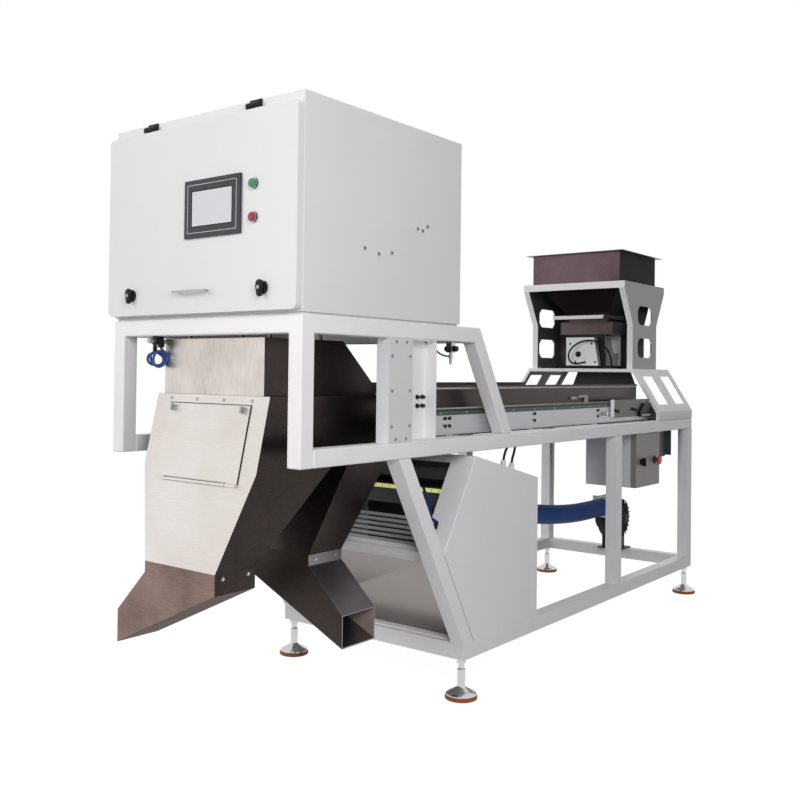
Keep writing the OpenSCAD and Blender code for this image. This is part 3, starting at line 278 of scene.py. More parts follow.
# Painted sheen: purple-grey on the reject spout's faces turned to the right; the same colour gives the hopper
# rim its darker band.
SPOUT_SHEEN_AND_RIM_STEEL = Finish("spout_sheen_and_rim_steel", Surface.BRUSHED, (0.24, 0.21, 0.225), 0.32, "brown_steel", 0.35,
                     (30, 30, 5))
# Painted shade: near-black steel for the tray's side faces.
BLACK_SIDE_SHADE_STEEL = Finish("side_shade_steel", Surface.BRUSHED, (0.020, 0.016, 0.014), 0.34, "dark_steel", 0.4,
                     (30, 30, 5))
# Painted shade: dull dark brown for the accept spout's underside, which faces away from the light.
SPOUT_SHADE = Finish("spout_under_painted_shade", Surface.PAINT, (0.17, 0.125, 0.108), 0.6, "brown_steel", 0.2, bump=0.1,
                     specular=0.1)
# Painted light: a lighter brown on the reject spout's inside far wall so that it reads as lit.
SPOUT_INSIDE_PAINTED_LIGHT = Finish("spout_inside_painted_light", Surface.PAINT, (0.34, 0.28, 0.255), 0.6, "brown_steel", 0.2, bump=0.1,
                      specular=0.1)
BOX_STEEL = Finish("box_front_steel", Surface.BRUSHED, (0.31, 0.283, 0.275), 0.46, "bright_steel", 0.15,
                   (3, 3, 40))
# Painted shade: near-black dull paint for the hopper's right side and funnel.
HOPPER_SHADE = Finish("hopper_side_painted_shade", Surface.PAINT, (0.017, 0.012, 0.011), 0.55, "dark_steel", 0.3, bump=0.1,
                      specular=0.06)
PLATE_GREY = Finish("tail_plate_steel", Surface.BRUSHED, (0.11, 0.10, 0.10), 0.36, "dark_steel", 0.25,
                    (4, 40, 40))
ALUMINIUM = Finish("aluminium_profile", Surface.BRUSHED, (0.41, 0.41, 0.43), 0.38, "aluminium", 0.10,
                   (60, 3, 60))
CHROME = Finish("chrome_plate", Surface.METAL, (0.70, 0.70, 0.71), 0.12, "chrome", 0.05, bump=0.01)
ZINC = Finish("zinc_plate", Surface.METAL, (0.50, 0.50, 0.51), 0.28, "zinc", 0.15, bump=0.04)
# Painted reflection: dark grey stands in for the dark reflections in the chrome screw heads.
SCREW_REFLECTION_STEEL = Finish("screw_heads", Surface.METAL, (0.26, 0.26, 0.27), 0.2, "zinc", 0.1, bump=0.02)
FOOT_STEEL = Finish("foot_plate", Surface.METAL, (0.60, 0.60, 0.61), 0.16, "zinc", 0.1, bump=0.02)
DARK_BOLT = Finish("blackened_bolt", Surface.METAL, (0.05, 0.05, 0.055), 0.38, "black_plastic", 0.2,
                   bump=0.05)
PAD_RUBBER = Finish("foot_rubber", Surface.RUBBER, (0.36, 0.10, 0.025), 0.62, "rubber_foot", 0.25, bump=0.15)
BLACK_PLASTIC = Finish("black_moulding", Surface.PLASTIC, (0.008, 0.008, 0.009), 0.42, "black_plastic", 0.2,
                       bump=0.1, specular=0.25)
BEZEL_PLASTIC = Finish("bezel_moulding", Surface.PLASTIC, (0.048, 0.045, 0.052), 0.46, "grey_plastic", 0.1,
                       bump=0.12, specular=0.3)
GREY_CASE = Finish("camera_case", Surface.PAINT, (0.12, 0.12, 0.125), 0.45, "grey_plastic", 0.1)
BOX_GREY = Finish("control_box_paint", Surface.PAINT, (0.74, 0.73, 0.77), 0.42, "light_grey", 0.06, bump=0.12)
# Painted shade: a dark copy of the control box's grey for its door on the shaded right side.
LID_SHADE_GREY = Finish("control_lid_painted_shade", Surface.PAINT, (0.25, 0.23, 0.24), 0.42, "light_grey", 0.06, bump=0.12)
DRIVE_WHITE = Finish("feeder_drive_paint", Surface.PAINT, (0.88, 0.87, 0.87), 0.42, "light_grey", 0.06,
                     bump=0.12)
SCREEN = Finish("touch_screen", Surface.GLASS, (0.66, 0.65, 0.68), 0.14, "screen_glass", 0.04, bump=0.0,
                glow=0.06, specular=0.6)
GREEN_CAP = Finish("green_cap", Surface.PLASTIC, (0.02, 0.26, 0.10), 0.25, "green_plastic", 0.1, bump=0.02,
                   coat=0.4)
STOP_RED = Finish("stop_cap", Surface.PLASTIC, (0.42, 0.010, 0.038), 0.3, "red_plastic", 0.1, bump=0.02,
                  coat=0.3)
RED_CAP = Finish("red_cap", Surface.PLASTIC, (0.28, 0.016, 0.021), 0.25, "red_plastic", 0.1, bump=0.02,
                 coat=0.4)
STRIP_GREEN = Finish("wear_strip", Surface.PLASTIC, (0.006, 0.052, 0.032), 0.45, "strip_green", 0.15,
                     bump=0.1)
BELT_GREEN = Finish("belt_cover", Surface.RUBBER, (0.012, 0.036, 0.030), 0.55, "belt_green", 0.2, bump=0.25)
SEAL_PALE = Finish("guard_seal", Surface.PLASTIC, (0.52, 0.50, 0.48), 0.5, "seal_pale", 0.08, bump=0.1)
SLAT_STEEL = Finish("slat_steel", Surface.PAINT, (0.62, 0.61, 0.63), 0.35, "aluminium", 0.10, bump=0.04,
                    specular=0.4)
LAMP_YELLOW = Finish("lamp_cover", Surface.PLASTIC, (0.62, 0.62, 0.22), 0.3, "lamp_yellow", 0.08, bump=0.03,
                     coat=0.3, glow=0.7)
HOSE_BLUE = Finish("hose_wall", Surface.PLASTIC, (0.001, 0.045, 0.23), 0.5, "hose_blue", 0.15, bump=0.06,
                   specular=0.15)
LINE_BLUE = Finish("air_line", Surface.PLASTIC, (0.012, 0.05, 0.25), 0.25, "line_blue", 0.1, bump=0.02,
                   coat=0.3)
CABLE_BLACK = Finish("cable_jacket", Surface.RUBBER, (0.006, 0.006, 0.007), 0.5, "cable_black", 0.2, bump=0.1,
                     specular=0.15)
BLOWER_BLACK = Finish("blower_paint", Surface.PAINT, (0.005, 0.005, 0.006), 0.42, "dark_steel", 0.2, bump=0.2,
                      specular=0.2)
MOTOR_GREY = Finish("motor_paint", Surface.PAINT, (0.055, 0.058, 0.065), 0.42, "dark_steel", 0.15, bump=0.2)
# Black rubber of the seals; also the dark strip of painted shade under the conveyor profiles.
GASKET_AND_GAP_SHADE = Finish("gasket_and_gap_shade_rubber", Surface.RUBBER, (0.015, 0.015, 0.015), 0.7, "cable_black", 0.2, bump=0.2)


class Shape:
    """A mesh being built from operators, then finished as one piece."""

    FLAT_ANGLE: ClassVar[float] = 0.4
    SHARP_ANGLE: ClassVar[float] = 35.0
    WELD: ClassVar[float] = 1e-6

    def __init__(self) -> None:
        """Starts an empty mesh."""
        self.bm = bmesh.new()

    def box(self, low: Point, high: Point, edge: float = 0.0, steps: int = 2, paint: int = 0) -> "Shape":
        """Adds a box between two corners, in millimetres from the front plane.

        Args:
            low: Lowest corner.
            high: Highest corner.
            edge: Width of the rounded edges.
            steps: Segments of the rounding.
            paint: Material index of its faces.

        Returns:
            This shape.
        """
        a, b = at(*low), at(*high)
        size = b - a
        place = Matrix.Translation((a + b) / 2) @ Matrix.Diagonal((*size, 1))
        made = bmesh.ops.create_cube(self.bm, size=1.0, matrix=place)["verts"]
        self._paint_new(made, paint)
        self._round({e for v in made for e in v.link_edges}, edge, steps)
        return self

    def lathe(self, profile: Sequence[tuple[float, float]], origin: Point, axis: Axis = Axis.Z,
              steps: int = 32, paint: int = 0, turn: Matrix | None = None) -> "Shape":
        """Adds a turned shape from (radius, height) pairs in millimetres.

        Args:
            profile: Outline from the start of the axis to its end.
            origin: Start of the axis, in millimetres from the front plane.
            axis: Direction of the axis.
            steps: Sides of the full turn.
            paint: Material index of its faces.
            turn: Further turn about the origin.

        Returns:
            This shape.
        """
        place = Matrix.Translation(at(*origin)) @ (turn or Matrix.Identity(4)) @ axis.value
        verts = [self.bm.verts.new(Vector((r / 1000, 0, h / 1000))) for r, h in profile]
        edges = [self.bm.edges.new(pair) for pair in zip(verts, verts[1:])]
        bmesh.ops.spin(self.bm, geom=verts + edges, axis=(0, 0, 1), cent=(0, 0, 0), dvec=(0, 0, 0),
                       angle=math.tau, steps=steps, use_merge=True)
        made = self._island(verts)
        bmesh.ops.remove_doubles(self.bm, verts=made, dist=self.WELD)
        made = self._island([v for v in verts if v.is_valid])
        bmesh.ops.recalc_face_normals(self.bm, faces=self._faces(made))
        bmesh.ops.transform(self.bm, matrix=place, verts=made)
        return self._paint_new(made, paint)

    def plate(self, outline: Sequence[Point], depth: Point, edge: float = 0.0, paint: int = 0) -> "Shape":
        """Adds a flat outline pushed along a direction.

        Args:
            outline: Corners, in millimetres from the front plane.
            depth: Push in millimetres.
            edge: Width of the rounded edges.
            paint: Material index of its faces.

        Returns:
            This shape.
        """
        face = self.bm.faces.new([self.bm.verts.new(at(*p)) for p in outline])
        pushed = bmesh.ops.extrude_face_region(self.bm, geom=[face], use_keep_orig=True)["geom"]
        top = [g for g in pushed if isinstance(g, bmesh.types.BMVert)]
        bmesh.ops.translate(self.bm, vec=Vector(depth) / 1000, verts=top)
        made = self._island(top)
        bmesh.ops.recalc_face_normals(self.bm, faces=self._faces(made))
        self._paint_new(made, paint)
        self._round({e for v in made for e in v.link_edges}, edge, 2)
        return self

    def border(self, low: Point, high: Point, wide: float, paint: int = 0) -> "Shape":
        """Adds an upright rectangle of four bars that faces the operator.

        Args:
            low: Lowest corner.
            high: Highest corner.
            wide: Width of the bars.
            paint: Material index of its faces.

        Returns:
            This shape.
        """
        (x0, y0, z0), (x1, y1, z1) = low, high
        for z in (z0, z1 - wide):
            self.box((x0, y0, z), (x1, y1, z + wide), paint=paint)
        for x in (x0, x1 - wide):
            self.box((x, y0, z0 + wide), (x + wide, y1, z1 - wide), paint=paint)
        return self

    def tube(self, path: Sequence[Vector], radii: Sequence[float], sides: int = 16,
             paint: int = 0) -> "Shape":
        """Adds a closed round tube along a path.

        Args:
            path: Points in metres.
            radii: Radius in millimetres at each point.
            sides: Sides of the tube.
            paint: Material index of its faces.

        Returns:
            This shape.
        """
        rings = []
        side = None
        for i, (spot, radius) in enumerate(zip(path, radii)):
            ahead = (path[min(i + 1, len(path) - 1)] - path[max(i - 1, 0)]).normalized()
            side = ahead.orthogonal() if side is None else side - ahead * side.dot(ahead)
            side.normalize()
            up = side.cross(ahead)
            rings.append([self.bm.verts.new(spot + radius / 1000 * (math.cos(t) * side + math.sin(t) * up))
                          for t in (math.tau * k / sides for k in range(sides))])
        made = [self.bm.faces.new((a[k], a[(k + 1) % sides], b[(k + 1) % sides], b[k]))
                for a, b in zip(rings, rings[1:]) for k in range(sides)]
        made += [self.bm.faces.new(rings[0][::-1]), self.bm.faces.new(rings[-1])]
        bmesh.ops.recalc_face_normals(self.bm, faces=made)
        return self._paint_new([v for ring in rings for v in ring], paint)

    def copy_node(self, node: str, edge: float, steps: int = 2, only: Pick | None = None) -> "Shape":
        """Adds a merged copy of a frame node with rounded edges.

        Args:
            node: Name of the node.
            edge: Width of the rounded edges, in millimetres.
            steps: Segments of the rounding.
            only: Picks the edges that are rounded, or None for every sharp one.

        Returns:
            This shape.
        """
        self.bm.from_mesh(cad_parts[node].data)
        bmesh.ops.remove_doubles(self.bm, verts=self.bm.verts, dist=self.WELD)
        bmesh.ops.dissolve_limit(self.bm, angle_limit=math.radians(self.FLAT_ANGLE), verts=self.bm.verts,
                                 edges=self.bm.edges)
        sharp = {e for e in self.bm.edges
                 if len(e.link_faces) == 2 and e.calc_face_angle(0.0) > math.radians(self.SHARP_ANGLE)}
        self._round({e for e in sharp if only is None or only(e)}, edge, steps)
        for face in self.bm.faces:
            face.material_index = 0
        return self

    def mirrored(self) -> "Shape":
        """Adds the shape's mirror image across the machine's middle plane.

        Returns:
            This shape.
        """
        twin = bmesh.ops.duplicate(self.bm,
                                   geom=self.bm.verts[:] + self.bm.edges[:] + self.bm.faces[:])["geom"]
        verts = [g for g in twin if isinstance(g, bmesh.types.BMVert)]
        faces = [g for g in twin if isinstance(g, bmesh.types.BMFace)]
        bmesh.ops.scale(self.bm, vec=(-1, 1, 1), verts=verts)
        bmesh.ops.reverse_faces(self.bm, faces=faces)
        return self

    def repaint(self, rule: Paint) -> "Shape":
        """Gives every face the material index that the rule returns for it.

        Args:
            rule: Material index of each face.

        Returns:
            This shape.
        """
        self.bm.normal_update()
        for face in self.bm.faces:
            face.material_index = rule(face)
        return self

    def _round(self, edges: Iterable[bmesh.types.BMEdge], width: float, steps: int) -> None:
        """Rounds edges, taken in the mesh's own order.

        Args:
            edges: Edges to round.
            width: Width in millimetres.
            steps: Segments of the rounding.
        """
        if width > 0:
            self.bm.edges.index_update()
            ordered = sorted(edges, key=lambda edge: edge.index)
            bmesh.ops.bevel(self.bm, geom=ordered, offset=width / 1000, offset_type="OFFSET", affect="EDGES",
                            segments=steps, profile=0.5, clamp_overlap=True, material=-1)

    @staticmethod
    def _island(seeds: Iterable[bmesh.types.BMVert]) -> list[bmesh.types.BMVert]:
        """Gathers the vertices that edges join to the seeds.

        Args:
            seeds: Vertices to start from.

        Returns:
            Every vertex that is joined to them.
        """
        seen = dict.fromkeys(seeds)
        queue = list(seen)
        while queue:
            for edge in queue.pop().link_edges:
                for vert in edge.verts:
                    if vert not in seen:
                        seen[vert] = None
                        queue.append(vert)
        return list(seen)

    @staticmethod
    def _faces(verts: Iterable[bmesh.types.BMVert]) -> list[bmesh.types.BMFace]:
        """Returns the faces that touch the vertices, each once."""
        return list(dict.fromkeys(face for vert in verts for face in vert.link_faces))

    def _paint_new(self, seeds: Iterable[bmesh.types.BMVert], paint: int) -> "Shape":
        """Sets the material index on the faces of one island.

        Args:
            seeds: Vertices of the island.
            paint: Material index of its faces.

        Returns:
            This shape.
        """
        alive = [v for v in seeds if v.is_valid]
        if alive and paint:
            for vert in self._island(alive):
                for face in vert.link_faces:
                    face.material_index = paint
        return self

    def piece(self, name: str, finishes: Sequence[Finish], body: str, replaces: Sequence[str] = (),
              smooth: float = 40.0) -> bpy.types.Object:
        """Finishes the mesh as a piece that rides a body.

        Args:
            name: Name of the piece.
            finishes: Finishes in the order of the material indices.
            body: Body that carries the piece.
            replaces: Frame nodes that the piece stands for.
            smooth: Angle, in degrees, above which shading breaks.

        Returns:
            The new object.
        """
        mesh = bpy.data.meshes.new(name)
        self.bm.to_mesh(mesh)
        self.bm.free()
        for finish in finishes:
            mesh.materials.append(finish.material())
        mesh.shade_smooth()
        mesh.set_sharp_from_angle(angle=math.radians(smooth))
        piece = bpy.data.objects.new(name, mesh)
        bpy.context.scene.collection.objects.link(piece)
        weighted = piece.modifiers.new("face_weight", "WEIGHTED_NORMAL")
        weighted.keep_sharp = True
        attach(piece, body)
        if replaces:
            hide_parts(*replaces)
        log.info("%s on %s", name, body)
        return piece


def soften(node: str, body: str, finishes: Sequence[Finish], edge: float, steps: int = 2,
           rule: Paint | None = None, only: Pick | None = None) -> bpy.types.Object:
    """Replaces a node by a copy with rounded edges.

    Args:
        node: Frame node.
        body: Body that carries it.
        finishes: Finishes in the order of the material indices.
        edge: Width of the rounded edges, in millimetres.
        steps: Segments of the rounding.
        rule: Material index of each face.
        only: Picks the edges that are rounded, or None for every sharp one.

    Returns:
        The new piece.
    """
    shape = Shape().copy_node(node, edge, steps, only)
    if rule:
        shape.repaint(rule)
    return shape.piece(f"{node}_skin", finishes, body, [node])


def outside(node: str) -> Pick:
    """Makes a pick of the edges that lie on two sides of a node's box.

    Args:
        node: Frame node.

    Returns:
        The pick.
    """
    tolerance = 1e-4
    points = [v.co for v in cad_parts[node].data.vertices]
    sides = [(k, f(p[k] for p in points)) for k in range(3) for f in (min, max)]

    def pick(edge: bmesh.types.BMEdge) -> bool:
        """Tells whether an edge lies on two sides of the box."""
        return sum(all(abs(v.co[k] - at_side) < tolerance for v in edge.verts) for k, at_side in sides) >= 2

    return pick


def dome(radius: float, height: float, socket: float) -> list[tuple[float, float]]:
    """Profile of a button-head screw with a socket, from its seat upwards.

    Args:
        radius: Radius of the head.
        height: Height of the head.
        socket: Radius of the socket.

    Returns:
        Pairs of radius and height.
    """
    return [(0, 0), (radius, 0), (radius, height * 0.3), (radius * 0.88, height * 0.7),
            (radius * 0.62, height * 0.95), (socket, height), (socket, height * 0.45), (0, height * 0.45)]


@dataclass
class Studio:
    """Camera at the photograph's place, pale floor and soft light."""

    camera_at: Point = (2079.0, -1750.5, 1050.8)
    turn: float = 37.815
    tilt: float = 0.797
    roll: float = 0.70
    lens: float = 42.2
    shift: float = -0.0508
    floor_half: float = 40.0
    floor_grey: float = 0.36
    floor_glow: float = 1.34
    glow_share: float = 0.72
    world_fill: float = 0.15
    lamps: Sequence[tuple[str, Point, Point, float, float]] = (
        ("key_panel", (-2.4, -5.4, 2.7), (0.0, -0.8, 0.9), 3.8, 145.0),
        ("side_panel", (2.7, -3.0, 1.9), (0.4, -0.9, 1.1), 1.4, 64.0),
        ("back_panel", (-1.8, 5.0, 2.2), (0.0, 0.8, 0.9), 3.0, 75.0),
        ("top_panel", (0.4, 0.2, 5.6), (0.0, 0.2, 0.9), 4.0, 72.0))

    def build(self) -> None:
        """Builds the camera, the floor, the world and the lamps."""
        bpy.context.scene.view_settings.view_transform = "Standard"
        self._camera()
        self._floor()
        self._world()
        for name, place, aim, size, power in self.lamps:
            self._lamp(name, place, aim, size, power)

    def _camera(self) -> None:
        """Places the camera by its turn, tilt and roll."""
        a, e, r = (math.radians(v) for v in (self.turn, self.tilt, self.roll))
        forward = Vector((-math.sin(a) * math.cos(e), math.cos(a) * math.cos(e), math.sin(e)))
        right = Vector((math.cos(a), math.sin(a), 0.0))
        up = right.cross(forward)
        side = right * math.cos(r) + up * math.sin(r)
        head = up * math.cos(r) - right * math.sin(r)
        data = bpy.data.cameras.new("photo_camera")
        data.sensor_width = 36.0
        data.lens = self.lens
        data.shift_y = self.shift
        data.clip_end = 100.0
        camera = bpy.data.objects.new("photo_camera", data)
        pose = Matrix((side, head, -forward)).transposed().to_4x4()
        camera.matrix_world = Matrix.Translation(at(*self.camera_at)) @ pose
        bpy.context.scene.collection.objects.link(camera)
        bpy.context.scene.camera = camera

    def _floor(self) -> None:
        """Lays a pale floor that shows soft shadows."""
        bm = bmesh.new()
        bmesh.ops.create_grid(bm, x_segments=1, y_segments=1, size=self.floor_half)
        mesh = bpy.data.meshes.new("studio_floor")
        bm.to_mesh(mesh)
        bm.free()
        material = bpy.data.materials.new("studio_floor")
        material.use_nodes = True
        tree = material.node_tree
        shader = tree.nodes["Principled BSDF"]
        shader.inputs["Base Color"].default_value = (self.floor_grey, self.floor_grey, self.floor_grey, 1)
        shader.inputs["Roughness"].default_value = 0.9
        glow = tree.nodes.new("ShaderNodeEmission")
        glow.inputs["Strength"].default_value = self.floor_glow
        mix = tree.nodes.new("ShaderNodeMixShader")
        weight = tree.nodes.new("ShaderNodeMath")
        weight.operation = "MULTIPLY"
        weight.inputs[1].default_value = self.glow_share
        tree.links.new(self._seen(tree), weight.inputs[0])
        tree.links.new(weight.outputs[0], mix.inputs[0])
        tree.links.new(shader.outputs[0], mix.inputs[1])
        tree.links.new(glow.outputs[0], mix.inputs[2])
        tree.links.new(mix.outputs[0], tree.nodes["Material Output"].inputs["Surface"])
        mesh.materials.append(material)
        floor = bpy.data.objects.new("studio_floor", mesh)
        bpy.context.scene.collection.objects.link(floor)

    @staticmethod
    def _seen(tree: bpy.types.NodeTree) -> bpy.types.NodeSocket:
        """Adds nodes that tell rays that see the backdrop from rays that light.

        Args:
            tree: Node tree to add to.

        Returns:
            A socket that is one for camera, glossy and transmission rays.
        """
        path = tree.nodes.new("ShaderNodeLightPath")
        first = tree.nodes.new("ShaderNodeMath")
        first.operation = "MAXIMUM"
        second = tree.nodes.new("ShaderNodeMath")
        second.operation = "MAXIMUM"
        tree.links.new(path.outputs["Is Camera Ray"], first.inputs[0])
        tree.links.new(path.outputs["Is Glossy Ray"], first.inputs[1])
        tree.links.new(first.outputs[0], second.inputs[0])
        tree.links.new(path.outputs["Is Transmission Ray"], second.inputs[1])
        return second.outputs[0]

    def _world(self) -> None:
        """Sets a white world for what is seen and a softer one for light."""
        world = bpy.data.worlds.new("studio_world")
        world.use_nodes = True
        bpy.context.scene.world = world
        tree = world.node_tree
        back = tree.nodes["Background"]
        back.inputs["Color"].default_value = (1, 1, 1, 1)
        span = tree.nodes.new("ShaderNodeMapRange")
        span.inputs["To Min"].default_value = self.world_fill
        span.inputs["To Max"].default_value = 1.0
        tree.links.new(self._seen(tree), span.inputs["Value"])
        tree.links.new(span.outputs["Result"], back.inputs["Strength"])

    @staticmethod
    def _lamp(name: str, place: Point, aim: Point, size: float, power: float) -> None:
        """Adds a square lamp aimed at a point.

        Args:
            name: Name of the lamp.
            place: Its place in metres.
            aim: The point it faces.
            size: Side of the square in metres.
            power: Watts.
        """
        data = bpy.data.lights.new(name, "AREA")
        data.energy = power
        data.size = size
        lamp = bpy.data.objects.new(name, data)
        lamp.visible_glossy = False
        lamp.visible_camera = False
        look = (Vector(aim) - Vector(place)).to_track_quat("-Z", "Y")
        lamp.matrix_world = Matrix.Translation(place) @ look.to_matrix().to_4x4()
        bpy.context.scene.collection.objects.link(lamp)


@dataclass
class Lines:
    """Air hose, feeder cable, air-line coil and small fittings."""

    hose_d: float = 86.0
    hose_x: float = 26.0
    hose_ends: tuple[float, float] = (1248.0, 2542.0)
    hose_levels: tuple[float, float] = (532.0, 398.0)
    hose_shape: Sequence[tuple[float, float]] = (
        (0, 0), (0.044, 0), (0.094, 0.04), (0.153, 0.11), (0.22, 0.22), (0.295, 0.36), (0.379, 0.52),
        (0.463, 0.67), (0.547, 0.79), (0.631, 0.88), (0.715, 0.95), (0.799, 0.99), (0.874, 1), (0.95, 1),
        (1, 1))
    rib_pitch: float = 13.0
    rib_wave: Sequence[float] = (1.0, 0.985, 0.965, 0.985)
    cuff_rings: int = 8
    cuff_share: float = 0.97
    cable_d: float = 8.0
    cable_from: tuple[float, float] = (2372.0, 1080.0)
    cable_shape: Sequence[Point] = (
        (10, 0, 32), (9.95, -8, 32), (4, -15, 30), (-20, -20, 24), (-48, -22, 28), (-64, -22, 46),
        (-66, -22, 70), (-54, -22, 94), (-32, -22, 114), (-6, -22, 127), (24, -22, 134), (56, -22, 134),
        (86, -22, 127), (112, -22, 113), (134, -22, 92), (148, -22, 68), (156, -22, 42), (158, -22, 18),
        (158, -22, 0))
    coil_at: Point = (-217.0, 25.0, 1084.0)
    coil_r: float = 21.0
    coil_turns: int = 3
    line_d: float = 8.0
    regulator_at: Point = (373.0, 711.0, 1128.0)
    regulator_line: Sequence[Point] = (
        (-14.5, -117, 18), (-12, -99, 13), (-9, -77, -2), (-6, -53, -16), (-3, -27, -23), (0, -5, -24))
    box_line: Sequence[Point] = (
        (203, 803, 666), (230, 776, 655), (259, 750, 640), (280, 733, 618), (299, 714, 594), (315, 698, 583),
        (328, 695, 579), (338, 694, 574))
    coupling_at: Point = (338.0, 677.0, 544.0)
    coupling_lean: float = -30.5
    gland_x: float = 370.0
    gland_y: tuple[float, float] = (1040.0, 1094.0)
    gland_cable_top: float = 795.0
    box_top: tuple[float, float] = (826.0, 781.0)
    box_slope: float = 102 / 412

    def build(self) -> None:
        """Builds the cords first, then what holds them."""
        self._hose()
        self._cable()
        self._coil()
        self._holders()

    def _hose(self) -> None:
        y0, y1 = self.hose_ends
        z0, z1 = self.hose_levels
        route = [at(self.hose_x, y0 + f * (y1 - y0), z0 + g * (z1 - z0)) for f, g in self.hose_shape]
        path = self._smooth(route, 6)
        lengths = [0.0]
        for a, b in zip(path, path[1:]):
            lengths.append(lengths[-1] + (b - a).length)
        wave = self.rib_wave
        count = int(lengths[-1] * 1000 / self.rib_pitch) * len(wave)
        spots = [self._along(path, lengths, lengths[-1] * i / count) for i in range(count + 1)]
        ribs = range(self.cuff_rings + 1, count - self.cuff_rings)
        shares = [wave[i % len(wave)] if i in ribs else self.cuff_share for i in range(count + 1)]
        shape = Shape().tube(spots, [self.hose_d / 2 * share for share in shares], 28)
        hose = shape.piece("ribbed_hose", [HOSE_BLUE], "base", ["air_hose"], 60.0)

    @staticmethod
    def _smooth(route: Sequence[Vector], steps: int) -> list[Vector]:
        """Returns a smooth path through the route's points.

        Args:
            route: Points to pass through.
            steps: New points per span.

        Returns:
            The path's points.
        """
        path = []
        ends = [route[0] * 2 - route[1], *route, route[-1] * 2 - route[-2]]
        for p0, p1, p2, p3 in zip(ends, ends[1:], ends[2:], ends[3:]):
            for i in range(steps):
                t = i / steps
                path.append(0.5 * (2 * p1 + (p2 - p0) * t + (2 * p0 - 5 * p1 + 4 * p2 - p3) * t ** 2
                                   + (3 * p1 - p0 - 3 * p2 + p3) * t ** 3))
        return path + [route[-1].copy()]

    @staticmethod
    def _along(path: Sequence[Vector], lengths: Sequence[float], run: float) -> Vector:
        """Finds the point a run along a path.

        Args:
            path: Points of the path.
            lengths: Run from the start to each point, in metres.
            run: Run to the wanted point.

        Returns:
            The point.
        """
        k = min(max(sum(1 for v in lengths if v <= run) - 1, 0), len(path) - 2)
        ahead = path[k + 1] - path[k]
        share = (run - lengths[k]) / max(ahead.length, 1e-9)
        return path[k] + ahead * share

    def _strand(self, name: str, path: Sequence[Vector], diameter: float, finish: Finish,
                node: str) -> bpy.types.Object:
        """Builds a round strand as one open curve.

        Args:
            name: Name of the piece.
            path: Points that it follows.
            diameter: Diameter in millimetres.
            finish: Its finish.
            node: Frame node that it replaces.

        Returns:
            The curve object.
        """
        data = bpy.data.curves.new(name, "CURVE")
        data.dimensions = "3D"
        data.bevel_depth = diameter / 2000
        data.bevel_resolution = 4
        data.use_fill_caps = True
        spline = data.splines.new("POLY")
        spline.points.add(len(path) - 1)
        for point, place in zip(spline.points, path):
            point.co = (*place, 1)
        data.materials.append(finish.material())
        strand = bpy.data.objects.new(name, data)
        bpy.context.scene.collection.objects.link(strand)
        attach(strand, "base")
        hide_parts(node)
        log.info("%s on base", name)
        return strand

    def _cable(self) -> None:
        """Builds the feeder's cable from the drive to the stand's plate."""
        y0, z0 = self.cable_from
        route = [at(x, y0 + y, z0 + z) for x, y, z in self.cable_shape]
        path = self._smooth(route, 5)
        strand = self._strand("feeder_lead", path, self.cable_d, CABLE_BLACK, "feeder_cable")

    def _coil(self) -> None:
        """Builds the coiled air line under its fitting, with a short tail."""
        x, y, z = self.coil_at
        steps = 24 * self.coil_turns
        route = [at(x + 13, y, z + 33), at(x + 12, y + 4, z + 28)]
        for i in range(steps + 1):
            share = i / steps
            turn = math.radians(30) - math.tau * self.coil_turns * share
            r = self.coil_r + 2.5 * math.sin(2.3 * turn)
            route.append(at(x + 14 - 32 * share + 5 * math.cos(turn), y + r * math.cos(turn),
                            z - 2 + r * math.sin(turn)))
        path = self._smooth(route, 2)
        strand = self._strand("air_line_coil", path, self.line_d, LINE_BLUE, "air_coil")

    def _holders(self) -> None:
        """Dresses the hose clamps, the cable gland and the fittings."""
        self._clamps()
        self._gland()
        self._fittings()
        self._fitting_trim()

    def _clamps(self) -> None:
        """Builds a band with a screw block at each end of the hose."""
        clamps = Shape()
        r = self.hose_d / 2
        band = [(r + 0.5, 0), (r + 2.5, 0), (r + 3, 1), (r + 3, 13), (r + 2.5, 14), (r + 0.5, 14)]
        for y, z in zip((self.hose_ends[0] + 4, self.hose_ends[1] - 18), self.hose_levels):
            clamps.lathe(band + band[:1], (self.hose_x, y, z), Axis.Y, 40)
            clamps.box((self.hose_x - 7, y - 1, z + r + 2), (self.hose_x + 9, y + 15, z + r + 12), 2)
        clamps.piece("hose_clamps", [ZINC], "base")

    def _gland(self) -> None:
        """Builds the gland where the feeder cable enters the stand's plate."""
        nut = [(0, 0), (9, 0), (9, 5), (8, 6), (7, 12), (6, 13), (4.2, 13), (4.2, 0)]
        x, y, z = self.cable_shape[-1]
        gland = Shape().lathe(nut, (x, self.cable_from[0] + y, self.cable_from[1] + z), Axis.Z, 6)
        gland.piece("cable_gland", [BLACK_PLASTIC], "base")

    def _fittings(self) -> None:
        """Builds the air fitting, the regulator, the short lines and the box's glands."""
        fittings = Shape()
        x, y, z = self.coil_at
        fittings.box((x - 13, y - 13, z + 40), (x + 11, y + 13, z + 66), 2.5, 3)
        fittings.box((x + 7, y - 9, z + 32.5), (x + 20, y + 9, z + 50), 2.0, 2)
        elbow = [(0, 0), (5, 0), (6.5, 1.5), (6.5, 14), (5, 16), (5, 22), (0, 22)]
        fittings.lathe(elbow, (x - 11, y - 3, z + 22), Axis.Z, 20)
        self._regulator(fittings)
        self._box_line(fittings)
        for place in self.gland_y:
            self._box_gland(fittings, place)
        fittings.piece("fittings_and_glands", [BLACK_PLASTIC, ZINC, DRIVE_WHITE, LINE_BLUE], "base",
                       ["lines_and_fittings"])

